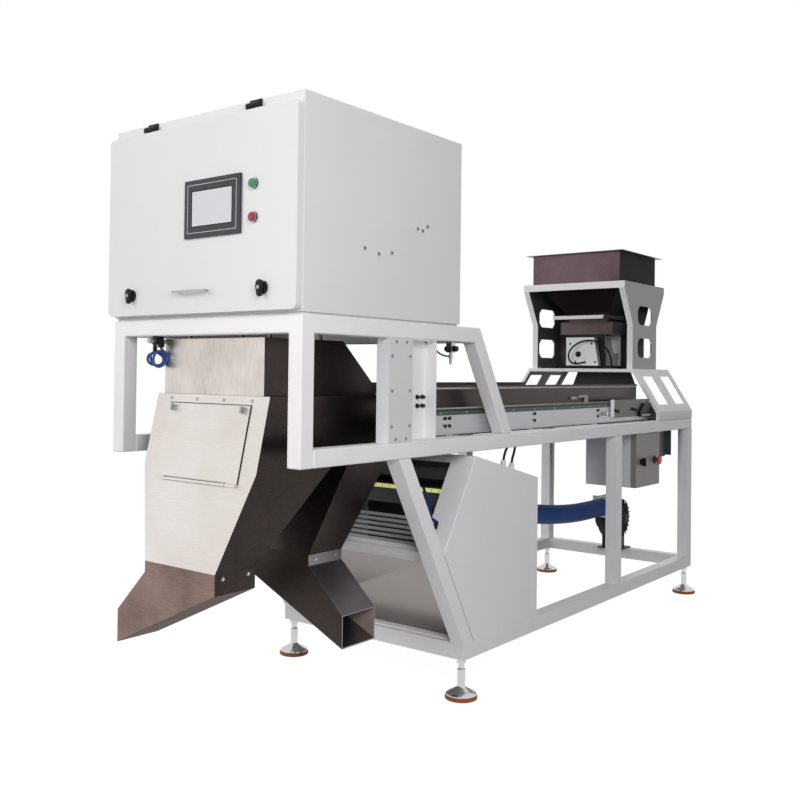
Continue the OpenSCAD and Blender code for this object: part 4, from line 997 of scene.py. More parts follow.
    def _fitting_trim(self) -> None:
        """Builds the plated nuts in front of the air fitting and behind it."""
        x, y, z = self.coil_at
        extras = Shape()
        extras.lathe([(0, 0), (6, 0), (6, 9), (8, 10), (8, 20), (0, 20)], (x, y - 15, z + 52), Axis.Y, 20,
                     turn=Matrix.Rotation(math.pi, 4, "Z"))
        extras.lathe([(0, 0), (9, 0), (9, 3), (6, 4), (6, 12), (0, 12)], (x, y + 15, z + 50), Axis.Y, 20)
        extras.piece("air_fitting_trim", [ZINC], "base")

    def _short_line(self, shape: Shape, route: Sequence[Point], radius: float, paint: int = 0) -> None:
        """Adds a short line that is fixed at both ends.

        Args:
            shape: Shape that it joins.
            route: Points in millimetres from the front plane.
            radius: Radius in millimetres.
            paint: Material index of its faces.
        """
        path = self._smooth([at(*point) for point in route], 4)
        shape.tube(path, [radius] * len(path), 12, paint)

    def _regulator(self, shape: Shape) -> None:
        """Adds the air regulator under the right beam, with its nozzle and blue line.

        Args:
            shape: Shape that it joins.
        """
        x, y, z = self.regulator_at
        shape.box((x - 11, y - 11, z - 12), (x + 11, y + 11, z + 22), 2.0, 2, 1)
        knob = [(0, 0), (7.5, 0), (9, 1.5), (9, 13), (7.5, 15), (0, 15)]
        shape.lathe(knob, (x + 11, y, z), Axis.X, 28)
        shape.lathe([(0, 0), (7, 0), (8.5, 1.5), (8.5, 10), (0, 10)], (x - 21, y, z), Axis.X, 28)
        nozzle = [(0, 0), (3, 0), (4, 6), (5, 8), (5, 20), (7, 22), (7, 30), (5, 32), (5, 38), (0, 38)]
        shape.lathe(nozzle, (x, y, z - 50), Axis.Z, 20, paint=1)
        self._short_line(shape, [(x + i, y + j, z + k) for i, j, k in self.regulator_line], 3.0, 3)

    def _box_line(self, shape: Shape) -> None:
        """Adds the blue line from the lower lamp to a coupling on the box's edge.

        Args:
            shape: Shape that it joins.
        """
        self._short_line(shape, self.box_line, 5.0, 3)
        coupling = [(0, 0), (2.5, 0), (3.5, 4), (3.5, 12), (6.5, 13), (7, 15), (7, 30), (5.5, 32), (5.5, 38),
                    (0, 38)]
        lean = Matrix.Rotation(math.radians(self.coupling_lean), 4, "X")
        shape.lathe(coupling, self.coupling_at, Axis.Z, 20, turn=lean)

    def _box_gland(self, shape: Shape, y: float) -> None:
        """Adds a gland with its cable on the lower box's sloping top.

        Args:
            shape: Shape that it joins.
            y: Its place along the machine.
        """
        x = self.gland_x
        z = self.box_top[1] - (y - self.box_top[0]) * self.box_slope
        lean = Matrix.Rotation(-math.atan(self.box_slope), 4, "X")
        gland = [(0, 0), (11, 0), (11, 9), (9.5, 11), (9.5, 19), (7, 23), (0, 23)]
        shape.lathe(gland, (x, y, z), Axis.Z, 12, paint=2, turn=lean)
        route = [(x, y + 3, z + 15), (x, y + 5, z + 26), (x, y + 9, z + 40), (x, y + 17, z + 54),
                 (x, y + 28, self.gland_cable_top)]
        self._short_line(shape, route, 4.5)


@dataclass
class FrameWork:
    """White square-tube frame on four levelling feet."""

    tube_edge: float = 5.0
    foot_x: float = 375.0
    foot_y: tuple[float, float] = (789.0, 2715.0)
    pad_r: float = 53.0
    stem_r: float = 10.0
    thread_pitch: float = 2.4
    tube_under: float = 129.0

    def build(self) -> None:
        """Builds the tubes and the feet."""
        for node in ("head_frame", "side_rails", "lower_frame"):
            soften(node, "base", [FRAME_WHITE], self.tube_edge, 3)
        for y, end in zip(self.foot_y, ("front", "rear")):
            for x, side in ((-self.foot_x, "left"), (self.foot_x, "right")):
                self._foot(x, y, f"{end}_{side}")

    def _foot(self, x: float, y: float, corner: str) -> None:
        """Builds one foot: rubber pad, plated cone, threaded stem and nuts.

        Args:
            x: Place across the machine.
            y: Place along the machine.
            corner: Corner name such as front_left.
        """
        shape = Shape()
        r = self.pad_r
        pad = [(0, 0), (r - 2, 0), (r, 1.5), (r, 9), (r - 1.5, 11), (r - 5, 12), (0, 12)]
        shape.lathe(pad, (x, y, 0), steps=48)
        cone = [(0, 12), (r - 3, 12), (r - 2, 14), (r - 3, 17), (r - 8, 21), (r - 16, 25), (r - 24, 29),
                (r - 31, 33), (16, 36.5), (13.5, 39), (12.5, 42), (12.5, 62), (0, 62)]
        shape.lathe(cone, (x, y, 0), steps=48, paint=1)
        thread = [(0, 60)]
        z = 62.0
        while z < self.tube_under - 33:
            thread += [(self.stem_r, z), (self.stem_r - 1.1, z + self.thread_pitch / 2)]
            z += self.thread_pitch
        thread += [(self.stem_r, z), (self.stem_r, self.tube_under + 38), (0, self.tube_under + 38)]
        shape.lathe(thread, (x, y, 0), steps=24, paint=1)
        sleeve = [(self.stem_r - 1, 62), (13, 62), (13.5, 64), (13.5, 92), (12.5, 94), (self.stem_r - 1, 94)]
        shape.lathe(sleeve + sleeve[:1], (x, y, 0), steps=28, paint=1)
        low, high = self.tube_under - 16, self.tube_under - 1
        nut = [(self.stem_r - 1, low), (15, low), (17, low + 1.5), (17, high - 1.5), (15, high),
               (self.stem_r - 1, high)]
        shape.lathe(nut + nut[:1], (x, y, 0), steps=6, paint=1)
        shape.piece(f"levelling_foot_{corner}", [PAD_RUBBER, FOOT_STEEL], f"{corner}_foot",
                    [f"foot_{corner}"], 32.0)


@dataclass
class Cabinet:
    """Camera cabinet with its lifting door and operator panel."""

    half_w: float = 400.0
    door_face: float = -24.0
    door_low: float = 1210.0
    door_high: float = 1752.0
    latch_x: float = 280.0
    latch_z: float = 1270.0
    button_x: float = 240.0
    button_z: tuple[float, float] = (1460.0, 1550.0)
    side_bolts: Sequence[tuple[float, float]] = (
        (247, 1396), (309, 1386), (368, 1395), (492, 1481), (517, 1478), (542, 1493))
    cover_screws: Sequence[tuple[float, float]] = (
        (377, 893), (377, 997), (377, 1098), (462, 893), (462, 997), (462, 1098), (397, 856), (446, 856),
        (397, 1140), (446, 1140))
    pan_bolts: Sequence[tuple[float, float]] = ((556, 976), (582, 976), (556, 949), (582, 949))
    pan_face: float = 356.0
    seal_w: float = 12.0
    glass_x: tuple[float, float] = (-5.5, 163.5)
    glass_z: tuple[float, float] = (1450.5, 1553.5)
    bezel_x: tuple[float, float] = (-22.0, 180.0)
    bezel_z: tuple[float, float] = (1434.0, 1570.0)
    RING_FROM_X: ClassVar[float] = 0.215

    def build(self) -> None:
        """Builds the shell, the door, the operator panel and the bolts."""
        soften("cabinet_shell", "base", [CABINET_WHITE], 3.5, 3, only=outside("cabinet_shell"))
        soften("cabinet_hinges", "base", [BLACK_PLASTIC], 1.2)
        soften("cameras", "base", [GREY_CASE], 3.0)
        self._gasket()
        self._door()
        self._panel()
        self._bolts()

    def _gasket(self) -> None:
        """Builds the rubber seal between the door and the shell."""
        seal = Shape()
        x = self.half_w - self.seal_w
        seal.border((-x, -2, self.door_low + 8), (x, 0, self.door_high - 8), self.seal_w)
        seal.piece("door_seal", [GASKET_AND_GAP_SHADE], "base")

    def _door(self) -> None:
        """Dresses the door, its hinges, handle and latches."""
        soften("door_panel", "cabinet_door", [CABINET_WHITE], 4.0, 4)
        soften("door_hinges", "cabinet_door", [BLACK_PLASTIC], 1.2)
        soften("door_handle", "cabinet_door", [ZINC], 1.6, 3)
        for side, x in (("left", -self.latch_x), ("right", self.latch_x)):
            latch = Shape()
            y = self.door_face
            latch.lathe([(0, 0), (14, 0), (17, 1.5), (18, 5), (18, 7), (0, 7)], (x, y - 7.4, self.latch_z),
                        Axis.Y, 36)
            paddle = ((-5, -24), (5, -24), (12, 2), (10, 17), (0, 22), (-10, 17), (-12, 2))
            latch.plate([(x + i, y - 7, self.latch_z + k) for i, k in paddle], (0, -13, 0), 3.5)
            latch.lathe([(0, 0), (8, 0), (8, 18), (0, 18)], (x, y - 6, self.latch_z), Axis.Y, 24)
            latch.box((x - 8, y + 4, self.latch_z - 20), (x + 8, y + 9, self.latch_z + 8), 1.0)
            latch.lathe([(0, 0), (5, 0), (5, 1), (0, 1)], (x, y - 20.6, self.latch_z), Axis.Y, 20, paint=1)
            latch.piece(f"{side}_latch_paddle", [BLACK_PLASTIC, ZINC], f"{side}_latch", [f"latch_{side}"])

    def _panel(self) -> None:
        """Dresses the touch panel and the two push-buttons."""
        soften("panel_bezels", "cabinet_door", [BEZEL_PLASTIC, CHROME, BLACK_PLASTIC], 1.8, 3,
               self._bezel_or_ring)
        soften("hmi_screen", "cabinet_door", [SCREEN], 0.4)
        rim = Shape()
        y = self.door_face - 8
        (x0, x1), (z0, z1) = self.glass_x, self.glass_z
        rim.border((x0, y + 0.3, z0), (x1, y + 2, z1), 3.0)
        (x0, x1), (z0, z1) = self.bezel_x, self.bezel_z
        rim.border((x0, y - 0.3, z0), (x1, y + 0.2, z1), 1.3, 1)
        rim.piece("screen_mask", [BLACK_PLASTIC, BOX_GREY], "cabinet_door")
        caps = ((self.button_z[1], GREEN_CAP, "start_button", "button_green"),
                (self.button_z[0], RED_CAP, "stop_button", "button_red"))
        for z, finish, body, node in caps:
            cap = Shape()
            cap.lathe([(0, 0), (7, 0.2), (10, 0.9), (11.6, 2.4), (12, 4.5), (12, 25), (0, 25)],
                      (self.button_x, self.door_face - 13, z), Axis.Y, 40)
            cap.piece(f"{node}_cap", [finish], body, [node])

    @staticmethod
    def _bezel_or_ring(face: bmesh.types.BMFace) -> int:
        """Sorts the faces of the bezel and the button rings.

        Args:
            face: A face of the node.

        Returns:
            0 for the bezel, 1 for a ring's front and 2 for its side.
        """
        if face.calc_center_median().x < Cabinet.RING_FROM_X:
            return 0
        return 1 if abs(face.normal.y) > 0.3 else 2

    def _bolts(self) -> None:
        """Builds the screw heads on both sides of the head."""
        heads = Shape()
        for y, z in self.side_bolts:
            heads.lathe(dome(6, 3, 2.4), (self.half_w, y, z), Axis.X, 24)
        for y, z in self.cover_screws:
            heads.lathe(dome(5, 3, 2.0), (self.half_w, y, z), Axis.X, 20)
        stud = [(0, 0), (7.5, 0), (7.5, 1.2), (5.5, 1.3), (5.5, 9), (4.8, 10), (2.5, 10), (2.5, 6), (0, 6)]
        for y, z in self.pan_bolts:
            heads.lathe(stud, (self.pan_face, y, z), Axis.X, 20, paint=1)
        # The side screw heads take dark steel as painted reflection.
        heads.mirrored().piece("side_screw_heads", [SCREW_REFLECTION_STEEL, DARK_BOLT], "base", ["side_bolts"])


@dataclass
class Chutes:
    """Sorting chamber, chutes, spouts and the inspection door."""

    lean: float = math.atan(0.228)
    top: float = 980.0
    front: float = 47.0
    spout_half: float = 150.0
    spout_top: float = 502.0
    spout_fronts: tuple[float, float] = (-61.984, 303.0)
    spout_bolts: tuple[float, float] = (28.0, 120.0)
    hatch_half: float = 173.0
    hatch_drop: tuple[float, float] = (25.0, 246.0)
    rivet_drop: float = 14.0
    MOUTH_Y: ClassVar[float] = -0.98

    def build(self) -> None:
        """Builds the chamber's sheets, the chutes and their bolts."""
        soften("side_pans", "base", [FRAME_WHITE], 0.8)
        soften("cover_plates", "base", [COVER_AND_SKIRT_SHADE_WHITE], 0.6)
        soften("ejector_bar", "base", [ALUMINIUM], 1.5)
        # Side faces of the hood and chutes take painted shade from SHADE_STEEL.
        soften("chute_hood", "base", [HOOD_STEEL, SHADE_STEEL], 1.0, 2, self._front_or_side)
        soften("accept_chute", "base", [PANEL_STEEL, SHADE_STEEL], 1.0, 2, self._front_or_side)
        # The reject chute's front takes dark brown as painted shade and reflection.
        soften("reject_chute", "base", [DUSK_SHADE_STEEL, SHADE_STEEL], 1.0, 2, self._front_or_side)
        soften("accept_spout", "base", [CHUTE_REFLECTION_STEEL, SHADE_STEEL, SPOUT_SHADE], 1.0, 2, self._spout_paint)
        soften("reject_spout", "base", [SHADE_STEEL, SPOUT_SHEEN_AND_RIM_STEEL, SPOUT_INSIDE_PAINTED_LIGHT], 1.0, 2, self._reject_paint)
        soften("inspection_door", "hatch", [PANEL_STEEL], 0.9)
        for side in ("left", "right"):
            soften(f"inspection_knob_{side}", f"hatch_knob_{side}", [ZINC], 1.5, 3)
        self._hatch_gap()
        self._bolts()

    @staticmethod
    def _front_or_side(face: bmesh.types.BMFace) -> int:
        """Returns 0 for a face towards the operator and 1 for the others, which take painted shade."""
        return 0 if face.normal.y < -0.7 else 1

    @staticmethod
    def _spout_paint(face: bmesh.types.BMFace) -> int:
        """Sorts the faces of the accept spout.

        Args:
            face: A face of the node.

        Returns:
            0 for its front, in painted reflection, 1 for its right side, in painted shade, and 2 for its
            underside, in painted shade.
        """
        if face.normal.z < -0.2:
            return 2
        return 1 if face.normal.x > 0.5 else 0

    @staticmethod
    def _reject_paint(face: bmesh.types.BMFace) -> int:
        """Sorts the faces of the reject spout.

        Args:
            face: A face of the node.

        Returns:
            0 for its front, in painted shade, 1 for its right side, in painted sheen, and 2 for its inside
            far wall, in painted light.
        """
        if face.normal.y < -0.5 and face.calc_center_median().y > Chutes.MOUTH_Y:
            return 2
        return 1 if face.normal.x > 0.3 else 0

    def _on_panel(self, x: float, down: float, out: float) -> Point:
        """Returns a point of the leaning panel.

        Args:
            x: Place across the panel.
            down: Way down from the panel's top edge.
            out: Way out from the panel.

        Returns:
            The point in millimetres.
        """
        sin, cos = math.sin(self.lean), math.cos(self.lean)
        return x, self.front - down * sin - out * cos, self.top - down * cos + out * sin

    def _hatch_gap(self) -> None:
        """Builds the dark seal that shows around the hatch."""
        seal = Shape()
        half = self.hatch_half + 0.6
        low, high = self.hatch_drop
        for x0, x1, d0, d1 in ((-half - 2.4, half + 2.4, low, low + 2.4), (half, half + 2.4, low + 2.4, high),
                               (-half - 1.2, -half, low + 2.4, high)):
            corners = [self._on_panel(x, d, -0.4) for x, d in ((x0, d0), (x1, d0), (x1, d1), (x0, d1))]
            base, tip = self._on_panel(0, 0, -0.4), self._on_panel(0, 0, 1.0)
            seal.plate(corners, tuple(b - a for a, b in zip(base, tip)))
        seal.piece("hatch_seal", [GASKET_AND_GAP_SHADE], "base")

    def _bolts(self) -> None:
        """Builds the rivets over the hatch and the spout bolts."""
        heads = Shape()
        tip = Matrix.Rotation(-self.lean, 4, "X") @ Matrix.Rotation(math.pi, 4, "X")
        for share in (-1, -1 / 3, 1 / 3, 1):
            spot = self._on_panel(share * self.hatch_half, self.rivet_drop, 0.0)
            heads.lathe(dome(5, 3, 1.6), spot, Axis.Y, 20, turn=tip)
        bolts = Shape()
        for start in self.spout_fronts:
            for shift in self.spout_bolts:
                bolts.lathe([(0, 0), (6, 0), (6, 1.0), (4.4, 1.1), (4.4, 4.0), (4, 4.5), (0, 4.5)],
                            (self.spout_half, start + shift, self.spout_top - 15), Axis.X, 6)
        bolts.mirrored().piece("spout_bolts", [ZINC], "base")
        heads.piece("hatch_rivets", [ZINC], "base", ["chute_bolts"])


@dataclass
class LowerBox:
    """White lower optics box with its slats and lamps."""

    nose: tuple[float, float] = (651.44, 485.0)
    heel: tuple[float, float] = (825.52, 179.0)
    lip: float = 40.0
    strut_in: float = 345.0
    strip_half: float = 394.0
    strip_back: float = 150.0
    strip_low: float = 640.0
    dot_pitch: float = 30.0
    dot_count: int = 27
    SIDE_X: ClassVar[float] = 0.3975
    WALL_X: ClassVar[float] = 0.3965
    BACK_Y: ClassVar[float] = -0.2
    NOSE_Z: ClassVar[float] = 0.485

    def build(self) -> None:
        """Builds the box, the rolled lip, the slats and the lamps."""
        soften("lower_box", "base", [FRAME_WHITE, BOX_STEEL, STAND_INNER_SHADE], 3.0, 3, self._box_paint,
               only=lambda edge: all(abs(v.co.x) > self.SIDE_X for v in edge.verts))
        soften("slat_rack", "base", [SLAT_STEEL], 0.8)
        soften("lamp_bars", "base", [MOTOR_GREY], 1.0)
        self._lip()
        self._lamp_dots()

    @staticmethod
    def _box_paint(face: bmesh.types.BMFace) -> int:
        """Sorts the faces of the lower box.

        Args:
            face: A face of the node.

        Returns:
            0 for outer paint, 1 for the bare front panel and 2 for the inside, in painted shade.
        """
        spot = face.calc_center_median()
        if abs(spot.x) < LowerBox.WALL_X and face.normal.y < -0.5 and spot.y > LowerBox.BACK_Y:
            return 2
        return 1 if face.normal.y < -0.5 and face.normal.z < -0.1 and spot.z < LowerBox.NOSE_Z else 0

    def _lip(self) -> None:
        """Builds the rolled lip along the top of the lower front panel."""
        ny, nz = self.nose
        run = Vector((self.heel[0] - ny, self.heel[1] - nz)).normalized()
        out = Vector((run.y, -run.x))
        a = Vector((ny, nz))
        corners = [a, a + out * 9 - run * 3, a + out * 9 + run * self.lip, a + run * (self.lip + 6)]
        lip = Shape()
        lip.plate([(-self.strut_in, p.x, p.y) for p in corners], (2 * self.strut_in, 0, 0), 3.0)
        lip.piece("box_lip", [FRAME_WHITE], "base")

    def _lamp_dots(self) -> None:
        """Builds the lit strip over the lower lamp, with its small screws."""
        dots = Shape()
        x, y, z = self.strip_half, self.nose[0] + self.strip_back, self.strip_low
        dots.box((-x, y, z), (x, y + 4, z + 28), 0.8)
        dots.box((-x, y - 2, z + 11), (x, y, z + 24), 0.6, paint=1)
        tip = Matrix.Rotation(math.pi, 4, "X")
        for k in range(self.dot_count):
            spot = (self.dot_pitch * (k - (self.dot_count - 1) / 2), y - 2, z + 17.5)
            dots.lathe(dome(2.2, 1.2, 0.8), spot, Axis.Y, 10, paint=2, turn=tip)
        dots.piece("lamp_strip", [MOTOR_GREY, LAMP_YELLOW, DARK_BOLT], "base")


@dataclass
class Conveyor:
    """Belt, profiles, guards, drums and drive."""

    rail_in: float = 350.0
    start: float = 561.0
    end: float = 2485.0
    motor: tuple[float, float] = (2550.0, 721.0)
    motor_x: tuple[float, float] = (20.0, 200.0)
    fin_pitch: float = 9.0
    rib_levels: Sequence[tuple[float, float]] = ((853, 862), (872, 881), (891, 899), (907, 914))
    joint_y: Sequence[float] = (716, 741, 1290, 1815)
    joint_z: Sequence[float] = (880, 905)
    rivet_from: tuple[float, float] = (690.0, 922.0)
    rivet_pitch: float = 150.0
    rivet_count: int = 12
    guard_x: float = 298.0
    guard_y: tuple[float, float] = (613.0, 2314.0)
    guard_strips: Sequence[tuple[float, float]] = ((930.5, 936.0), (997.0, 1002.5))
    tail_y: tuple[float, float] = (1957.0, 2330.0)
    clamp_screws: Sequence[tuple[float, float]] = ((1864, 890), (1904, 890))
    plate_screws: Sequence[tuple[float, float]] = ((1972, 900), (1998, 896), (2150, 902), (2178, 898))
    tightener: Sequence[tuple[float, float]] = (
        (2214, 866), (2330, 866), (2330, 926), (2262, 926), (2238, 908), (2214, 890))
    GUARD_TOP_Z: ClassVar[float] = 1.0062

    def build(self) -> None:
        """Builds the running gear from the frame outwards."""
        soften("conveyor_frame", "base", [ALUMINIUM], 1.5)
        soften("wear_strips", "base", [STRIP_GREEN], 2.0)
        soften("conveyor_belt", "base", [BELT_GREEN], 0.8)
        # The guards' near-black steel is painted shade and reflection.
        soften("belt_guards", "base", [GUARD_SHADE_STEEL], 0.6)
        soften("guard_seals", "base", [SEAL_PALE, BLACK_PLASTIC], 1.0, 2,
               lambda face: 1 if face.calc_center_median().z > self.GUARD_TOP_Z else 0)
        soften("head_drum", "front_drum", [ZINC], 1.5)
        soften("tail_drum", "rear_drum", [ZINC], 1.5)
        soften("motor_pulley", "drive_pulley", [ZINC], 1.5)
        soften("timing_belt", "base", [CABLE_BLACK], 0.5)
        soften("drive_motor", "base", [MOTOR_GREY], 3.0, 3)
        self._profile_ribs()
        self._tail_plates()
        self._motor_fins()

    def _profile_ribs(self) -> None:
        """Builds the slotted outer face of the profiles and its bolts, with a dark strip of painted shade
        under each profile.
        """
        ribs = Shape()
        x = self.rail_in
        for low, high in self.rib_levels:
            ribs.box((x, self.start + 1, low), (x + 1.4, self.end - 1, high), 0.5)
        cap = [(0, 0), (6, 0), (6, 4), (5.2, 5), (2.6, 5), (2.6, 3), (0, 3)]
        for y in self.joint_y:
            for z in self.joint_z:
                ribs.lathe(cap, (x, y, z), Axis.X, 16, paint=1)
        y, z = self.rivet_from
        for k in range(self.rivet_count):
            ribs.lathe(dome(3, 1.4, 1), (x, y + self.rivet_pitch * k, z), Axis.X, 12, paint=2)
        # Painted shade: a dark strip fills the shadow gap under the profile.
        ribs.box((300, 640, 846.6), (x - 1, 2330, 852.8), paint=3)
        x = self.guard_x
        for low, high in self.guard_strips:
            ribs.box((x, self.guard_y[0], low), (x + 1.6, self.guard_y[1], high), 0.4, paint=2)
        for low, high in (((x, 1672, 950), (x + 8, 1716, 961)), ((x, 1735, 957), (x + 8, 1800, 965)),
                          ((x, 1790, 936), (x + 13, 1803, 966))):
            ribs.box(low, high, 0.8, paint=2)
        ribs.mirrored().piece("profile_ribs", [ALUMINIUM, DARK_BOLT, SEAL_PALE, GASKET_AND_GAP_SHADE], "base")

    def _tail_plates(self) -> None:
        """Builds the plates, clips and belt tighteners at the tail of the profiles."""
        x = self.rail_in
        tail = Shape()
        front, back = self.tail_y
        tail.box((x, front, 868), (x + 3, back, 945), 0.8)
        tail.box((x, front - 35, 872), (x + 7, front + 1, 946), 1.2, paint=1)
        tail.box((x, front - 107, 882), (x + 10, front - 33, 898), 1.5, paint=1)
        for y, z in self.clamp_screws:
            tail.lathe([(0, 0), (8, 0), (8, 17), (7, 18), (0, 18)], (x, y, z), Axis.X, 6, paint=1)
        tail.plate([(x + 3, y, z) for y, z in self.tightener], (12, 0, 0), 2.0, paint=2)
        tail.box((x + 15, 2224, 870), (x + 19, 2312, 877), 1.2, paint=3)
        cap = [(0, 0), (7, 0), (7, 7), (6, 8), (3, 8), (3, 5), (0, 5)]
        for y, z in self.plate_screws:
            tail.lathe(cap, (x + 3, y, z), Axis.X, 16, paint=2)
        tail.mirrored().piece("tail_plates", [PLATE_GREY, ZINC, BLACK_PLASTIC, SEAL_PALE], "base")

    def _motor_fins(self) -> None:
        """Builds the cooling fins and the fan cover of the drive motor."""
        fins = Shape()
        y, z = self.motor
        x = self.motor_x[0] + 42
        ring = [(47, 0), (53, 0.6), (53, 3), (47, 3.6)]
        while x < self.motor_x[1] - 12:
            fins.lathe(ring + ring[:1], (x, y, z), Axis.X, 36)
            x += self.fin_pitch
        fins.lathe([(0, 0), (48, 0), (51, 2), (51, 28), (50, 32), (46, 34), (0, 34)],
                   (self.motor_x[0] - 1, y, z), Axis.X, 36)
        fins.piece("drive_motor_fins", [MOTOR_GREY], "base")


@dataclass
class FeedUnit:
    """Hopper, stand and vibrating feeder."""

    feed_y: float = 2484.0
    face: float = 2372.0
    plate: float = 1080.0
    drive_screws: Sequence[tuple[float, float]] = ((-70, 1200), (44, 1200), (-40, 1112), (62, 1112))
    plug_at: tuple[float, float] = (-26.0, 1150.0)
    floor_bolts: tuple[float, float] = (242.31, 110.0)
    flap_low: Point = (-131.0, 2308.5, 1316.0)
    flap_high: Point = (131.0, 2311.0, 1333.0)
    REAR_WALL_Y: ClassVar[float] = 1.2
    APRON_HALF: ClassVar[float] = 0.2
    APRON_Y: ClassVar[tuple[float, float]] = (1.18, 1.3)
    TRAY_LOW_Z: ClassVar[float] = 1.3185
    RIM_Z: ClassVar[float] = 1.6245
    FUNNEL_Z: ClassVar[float] = 1.484
    DRIVE_FOOT_Z: ClassVar[float] = 1.0945
    DRIVE_STEP_Y: ClassVar[tuple[float, float]] = (1.040, 1.060)

    def build(self) -> None:
        """Builds the hopper, the stand, the trough and the drive."""
        # The hopper's purple-brown walls are painted reflection; its right side and funnel are painted shade.
        soften("hopper", "base", [HOPPER_REFLECTION_STEEL, HOPPER_SHADE, SPOUT_SHEEN_AND_RIM_STEEL], 1.0, 2, self._hopper_paint)
        soften("feed_stand", "base", [FRAME_WHITE, STAND_SIDE_SHADE, STAND_INNER_SHADE], 1.6, 2, self._stand_paint)
        soften("stand_base", "base", [FRAME_WHITE, COVER_AND_SKIRT_SHADE_WHITE, STAND_INNER_SHADE], 1.4, 2, self._base_paint)
        soften("feeder_trough", "feeder_pan", [PANEL_STEEL, DUSK_SHADE_STEEL, BLACK_SIDE_SHADE_STEEL], 0.9, 2,
               self._tray_paint)
        soften("feeder_drive", "base", [DRIVE_WHITE, BLACK_PLASTIC, STAND_SIDE_SHADE], 4.0, 3, self._drive_paint)
        self._drive_trim()

    @staticmethod
    def _stand_paint(face: bmesh.types.BMFace) -> int:
        """Sorts the faces of the stand.

        Args:
            face: A face of the node.

        Returns:
            0 for outer paint, 1 for the right side, in painted shade, and 2 for the inside, in painted shade.
        """
        spot = face.calc_center_median()
        if spot.x * face.normal.x < -0.05 or (face.normal.y < -0.5 and spot.y > FeedUnit.REAR_WALL_Y):
            return 2
        return 1 if face.normal.x > 0.6 else 0

    @staticmethod
    def _base_paint(face: bmesh.types.BMFace) -> int:
        """Sorts the faces of the stand's base.

        Args:
            face: A face of the node.

        Returns:
            0 for outer paint, 1 for the side skirts, in painted shade, and 2 for the inside and the apron, in
            painted shade.
        """
        spot = face.calc_center_median()
        front, back = FeedUnit.APRON_Y
        apron = abs(spot.x) < FeedUnit.APRON_HALF and front < spot.y < back and face.normal.z < 0.5
        if spot.x * face.normal.x < -0.05 or face.normal.z < -0.5 or apron:
            return 2
        return 1 if abs(face.normal.x) > 0.95 else 0

    @staticmethod
    def _tray_paint(face: bmesh.types.BMFace) -> int:
        """Sorts the faces of the tray and its box.

        Args:
            face: A face of the node.

        Returns:
            0 for the tray's bright front, 1 for the box under it, in painted shade and reflection, and 2 for
            the sides, in painted shade.
        """
        if abs(face.normal.x) > 0.5:
            return 2
        return 0 if face.calc_center_median().z > FeedUnit.TRAY_LOW_Z else 1

    @staticmethod
    def _hopper_paint(face: bmesh.types.BMFace) -> int:
        """Sorts the faces of the hopper.

        Args:
            face: A face of the node.

        Returns:
            0 for its walls, in painted reflection, 1 for its right side and funnel, in painted shade, and 2
            for the rim.
        """
        spot = face.calc_center_median()
        if spot.z > FeedUnit.RIM_Z:
            return 2
        return 1 if face.normal.x > 0.3 or spot.z < FeedUnit.FUNNEL_Z else 0

    @staticmethod
    def _drive_paint(face: bmesh.types.BMFace) -> int:
        """Sorts the faces of the feeder drive.

        Args:
            face: A face of the node.

        Returns:
            0 for its front, 1 for its foot and 2 for its right side, in painted shade.
        """
        spot = face.calc_center_median()
        front, back = FeedUnit.DRIVE_STEP_Y
        if spot.z < FeedUnit.DRIVE_FOOT_Z or (abs(face.normal.y) > 0.5 and front < spot.y < back):
            return 1
        return 2 if face.normal.x > 0.6 else 0

    def _drive_trim(self) -> None:
        """Builds the drive's screws and plug, and the stand's floor bolts."""
        trim = Shape()
        tip = Matrix.Rotation(math.pi, 4, "X")
        for x, z in self.drive_screws:
            trim.lathe(dome(5, 3, 2), (x, self.face, z), Axis.Y, 20, turn=tip)
        x, z = self.plug_at
        plug = [(0, 0), (14, 0), (14, 4), (11, 8), (5, 9), (0, 9)]
        trim.lathe(plug, (x, self.face, z), Axis.Y, 28, turn=tip)
        x, y = self.floor_bolts
        hexagon = [(0, 0), (11, 0), (11, 2), (8, 2.2), (8, 8), (7, 9), (0, 9)]
        for i in (-x, x):
            for j in (-y, y):
                trim.lathe(hexagon, (i, self.feed_y + j, self.plate), Axis.Z, 6, paint=1)
        trim.piece("feeder_trim", [BLACK_PLASTIC, ZINC], "base")
        flap = Shape()
        flap.box(self.flap_low, self.flap_high, 0.8)
        flap.piece("tray_flap", [CABINET_WHITE], "feeder_pan")


@dataclass
class ControlBox:
    """Side control box with its door, isolator and emergency stop."""

    face: float = 365.0
    stop_at: tuple[float, float] = (2372.0, 665.0)

    def build(self) -> None:
        """Builds the box, its door and the two controls."""
        soften("control_box", "base", [BOX_GREY], 2.5, 3)
        # The control door takes a dark grey as painted shade.
        soften("control_door", "control_lid", [LID_SHADE_GREY], 3.0, 3)
        soften("isolator_knob", "isolator", [BLACK_PLASTIC], 1.5, 3)
        stop = Shape()
        y, z = self.stop_at
        stop.lathe([(0, 0), (8, 0), (8, 30), (17, 31), (20, 34), (20, 37), (18, 40.5), (12, 42), (0, 42)],
                   (self.face - 12, y, z), Axis.X, 40)
        stop.piece("stop_mushroom_head", [STOP_RED], "stop_mushroom", ["emergency_stop"])
        trim = Shape()
        collar = [(8.4, 0), (19, 0), (19, 3), (15, 5), (8.4, 5)]
        trim.lathe(collar + collar[:1], (self.face, y, z), Axis.X, 36)
        trim.piece("control_door_trim", [BLACK_PLASTIC], "control_lid")


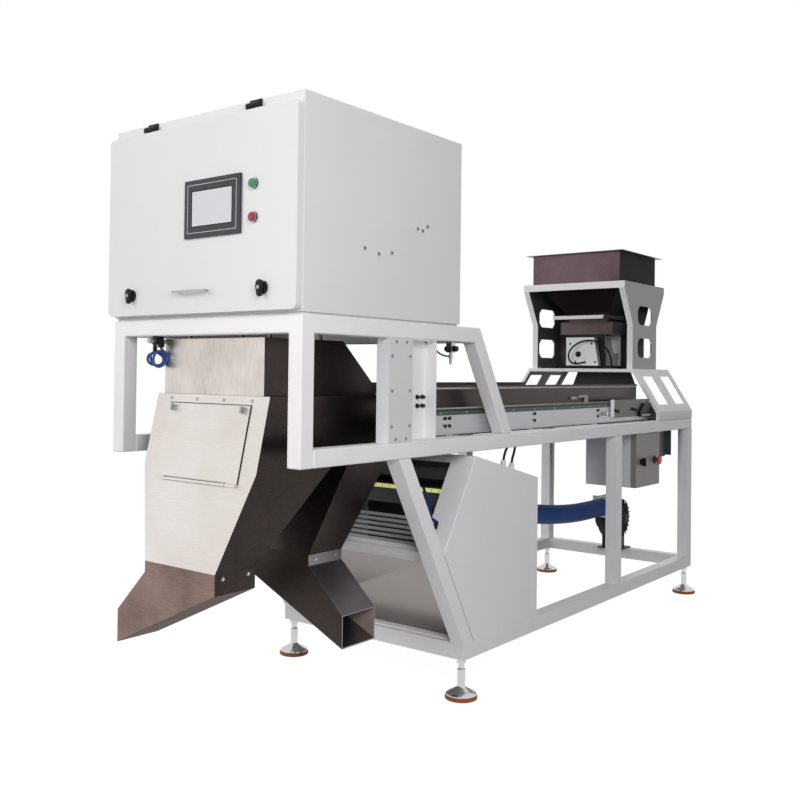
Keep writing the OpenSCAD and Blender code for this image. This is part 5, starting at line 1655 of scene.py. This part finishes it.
@dataclass
class Blower:
    """Suction blower on the rear cross beam."""

    centre: Point = (26.0, 2670.0, 332.0)
    half_w: float = 42.0
    grille_rings: Sequence[float] = (10, 20, 30, 40)
    grille_bars: int = 3
    bolt_ring: float = 84.0
    bolt_count: int = 8
    rib_count: int = 24
    PORT_Y: ClassVar[float] = 1.201

    def build(self) -> None:
        """Builds the casing, its grille, ribs and bolts, and the wheel."""
        soften("blower_housing", "base", [BLOWER_BLACK, BOX_GREY], 1.5, 3,
               lambda face: 1 if face.calc_center_median().y < self.PORT_Y else 0)
        soften("blower_impeller", "impeller", [ZINC], 0.4)
        x, y, z = self.centre
        trim = Shape()
        for r in self.grille_rings:
            ring = [(r - 1.2, 0), (r + 1.2, 0), (r + 1.2, 2.4), (r - 1.2, 2.4)]
            trim.lathe(ring + ring[:1], (x + self.half_w, y, z), Axis.X, 32)
        for k in range(self.grille_bars):
            turn = Matrix.Rotation(math.radians(180 / self.grille_bars * k + 30), 4, "X")
            self._blade(trim, turn, (-43.0, 43.0), 1.5, 2.0)
        head = [(0, 0), (6, 0), (6, 4), (5, 5), (0, 5)]
        for k in range(self.bolt_count):
            a = math.tau * (k + 0.5) / self.bolt_count
            spot = (x + self.half_w, y + self.bolt_ring * math.cos(a), z + self.bolt_ring * math.sin(a))
            trim.lathe(head, spot, Axis.X, 6, paint=1)
        for k in range(self.rib_count):
            turn = Matrix.Rotation(math.tau * k / self.rib_count, 4, "X")
            self._blade(trim, turn, (50.0, 94.0), 1.6, 6.0)
        trim.piece("blower_trim", [BLOWER_BLACK, ZINC], "base")

    def _blade(self, shape: Shape, turn: Matrix, reach: tuple[float, float], half: float,
               depth: float) -> None:
        """Adds a flat bar that stands on the casing's face.

        Args:
            shape: Shape that it joins.
            turn: Turn about the blower's axis.
            reach: Its two ends along its length, in millimetres.
            half: Half its width.
            depth: How far it stands out.
        """
        x, y, z = self.centre
        near, far = reach
        ends = ((0, near, -half), (0, far, -half), (0, far, half), (0, near, half))
        axis = Vector((x + self.half_w, y, z))
        shape.plate([tuple(axis + turn @ Vector(p)) for p in ends], (depth, 0, 0))


def main() -> None:
    """Builds every sub-assembly."""
    logging.basicConfig(level=logging.INFO)
    parts = (Studio(), Lines(), FrameWork(), Cabinet(), Chutes(), LowerBox(), Conveyor(), FeedUnit(),
             ControlBox(), Blower())
    for part in parts:
        log.info("building %s", type(part).__name__)
        part.build()


if __name__ == "__main__":
    main()
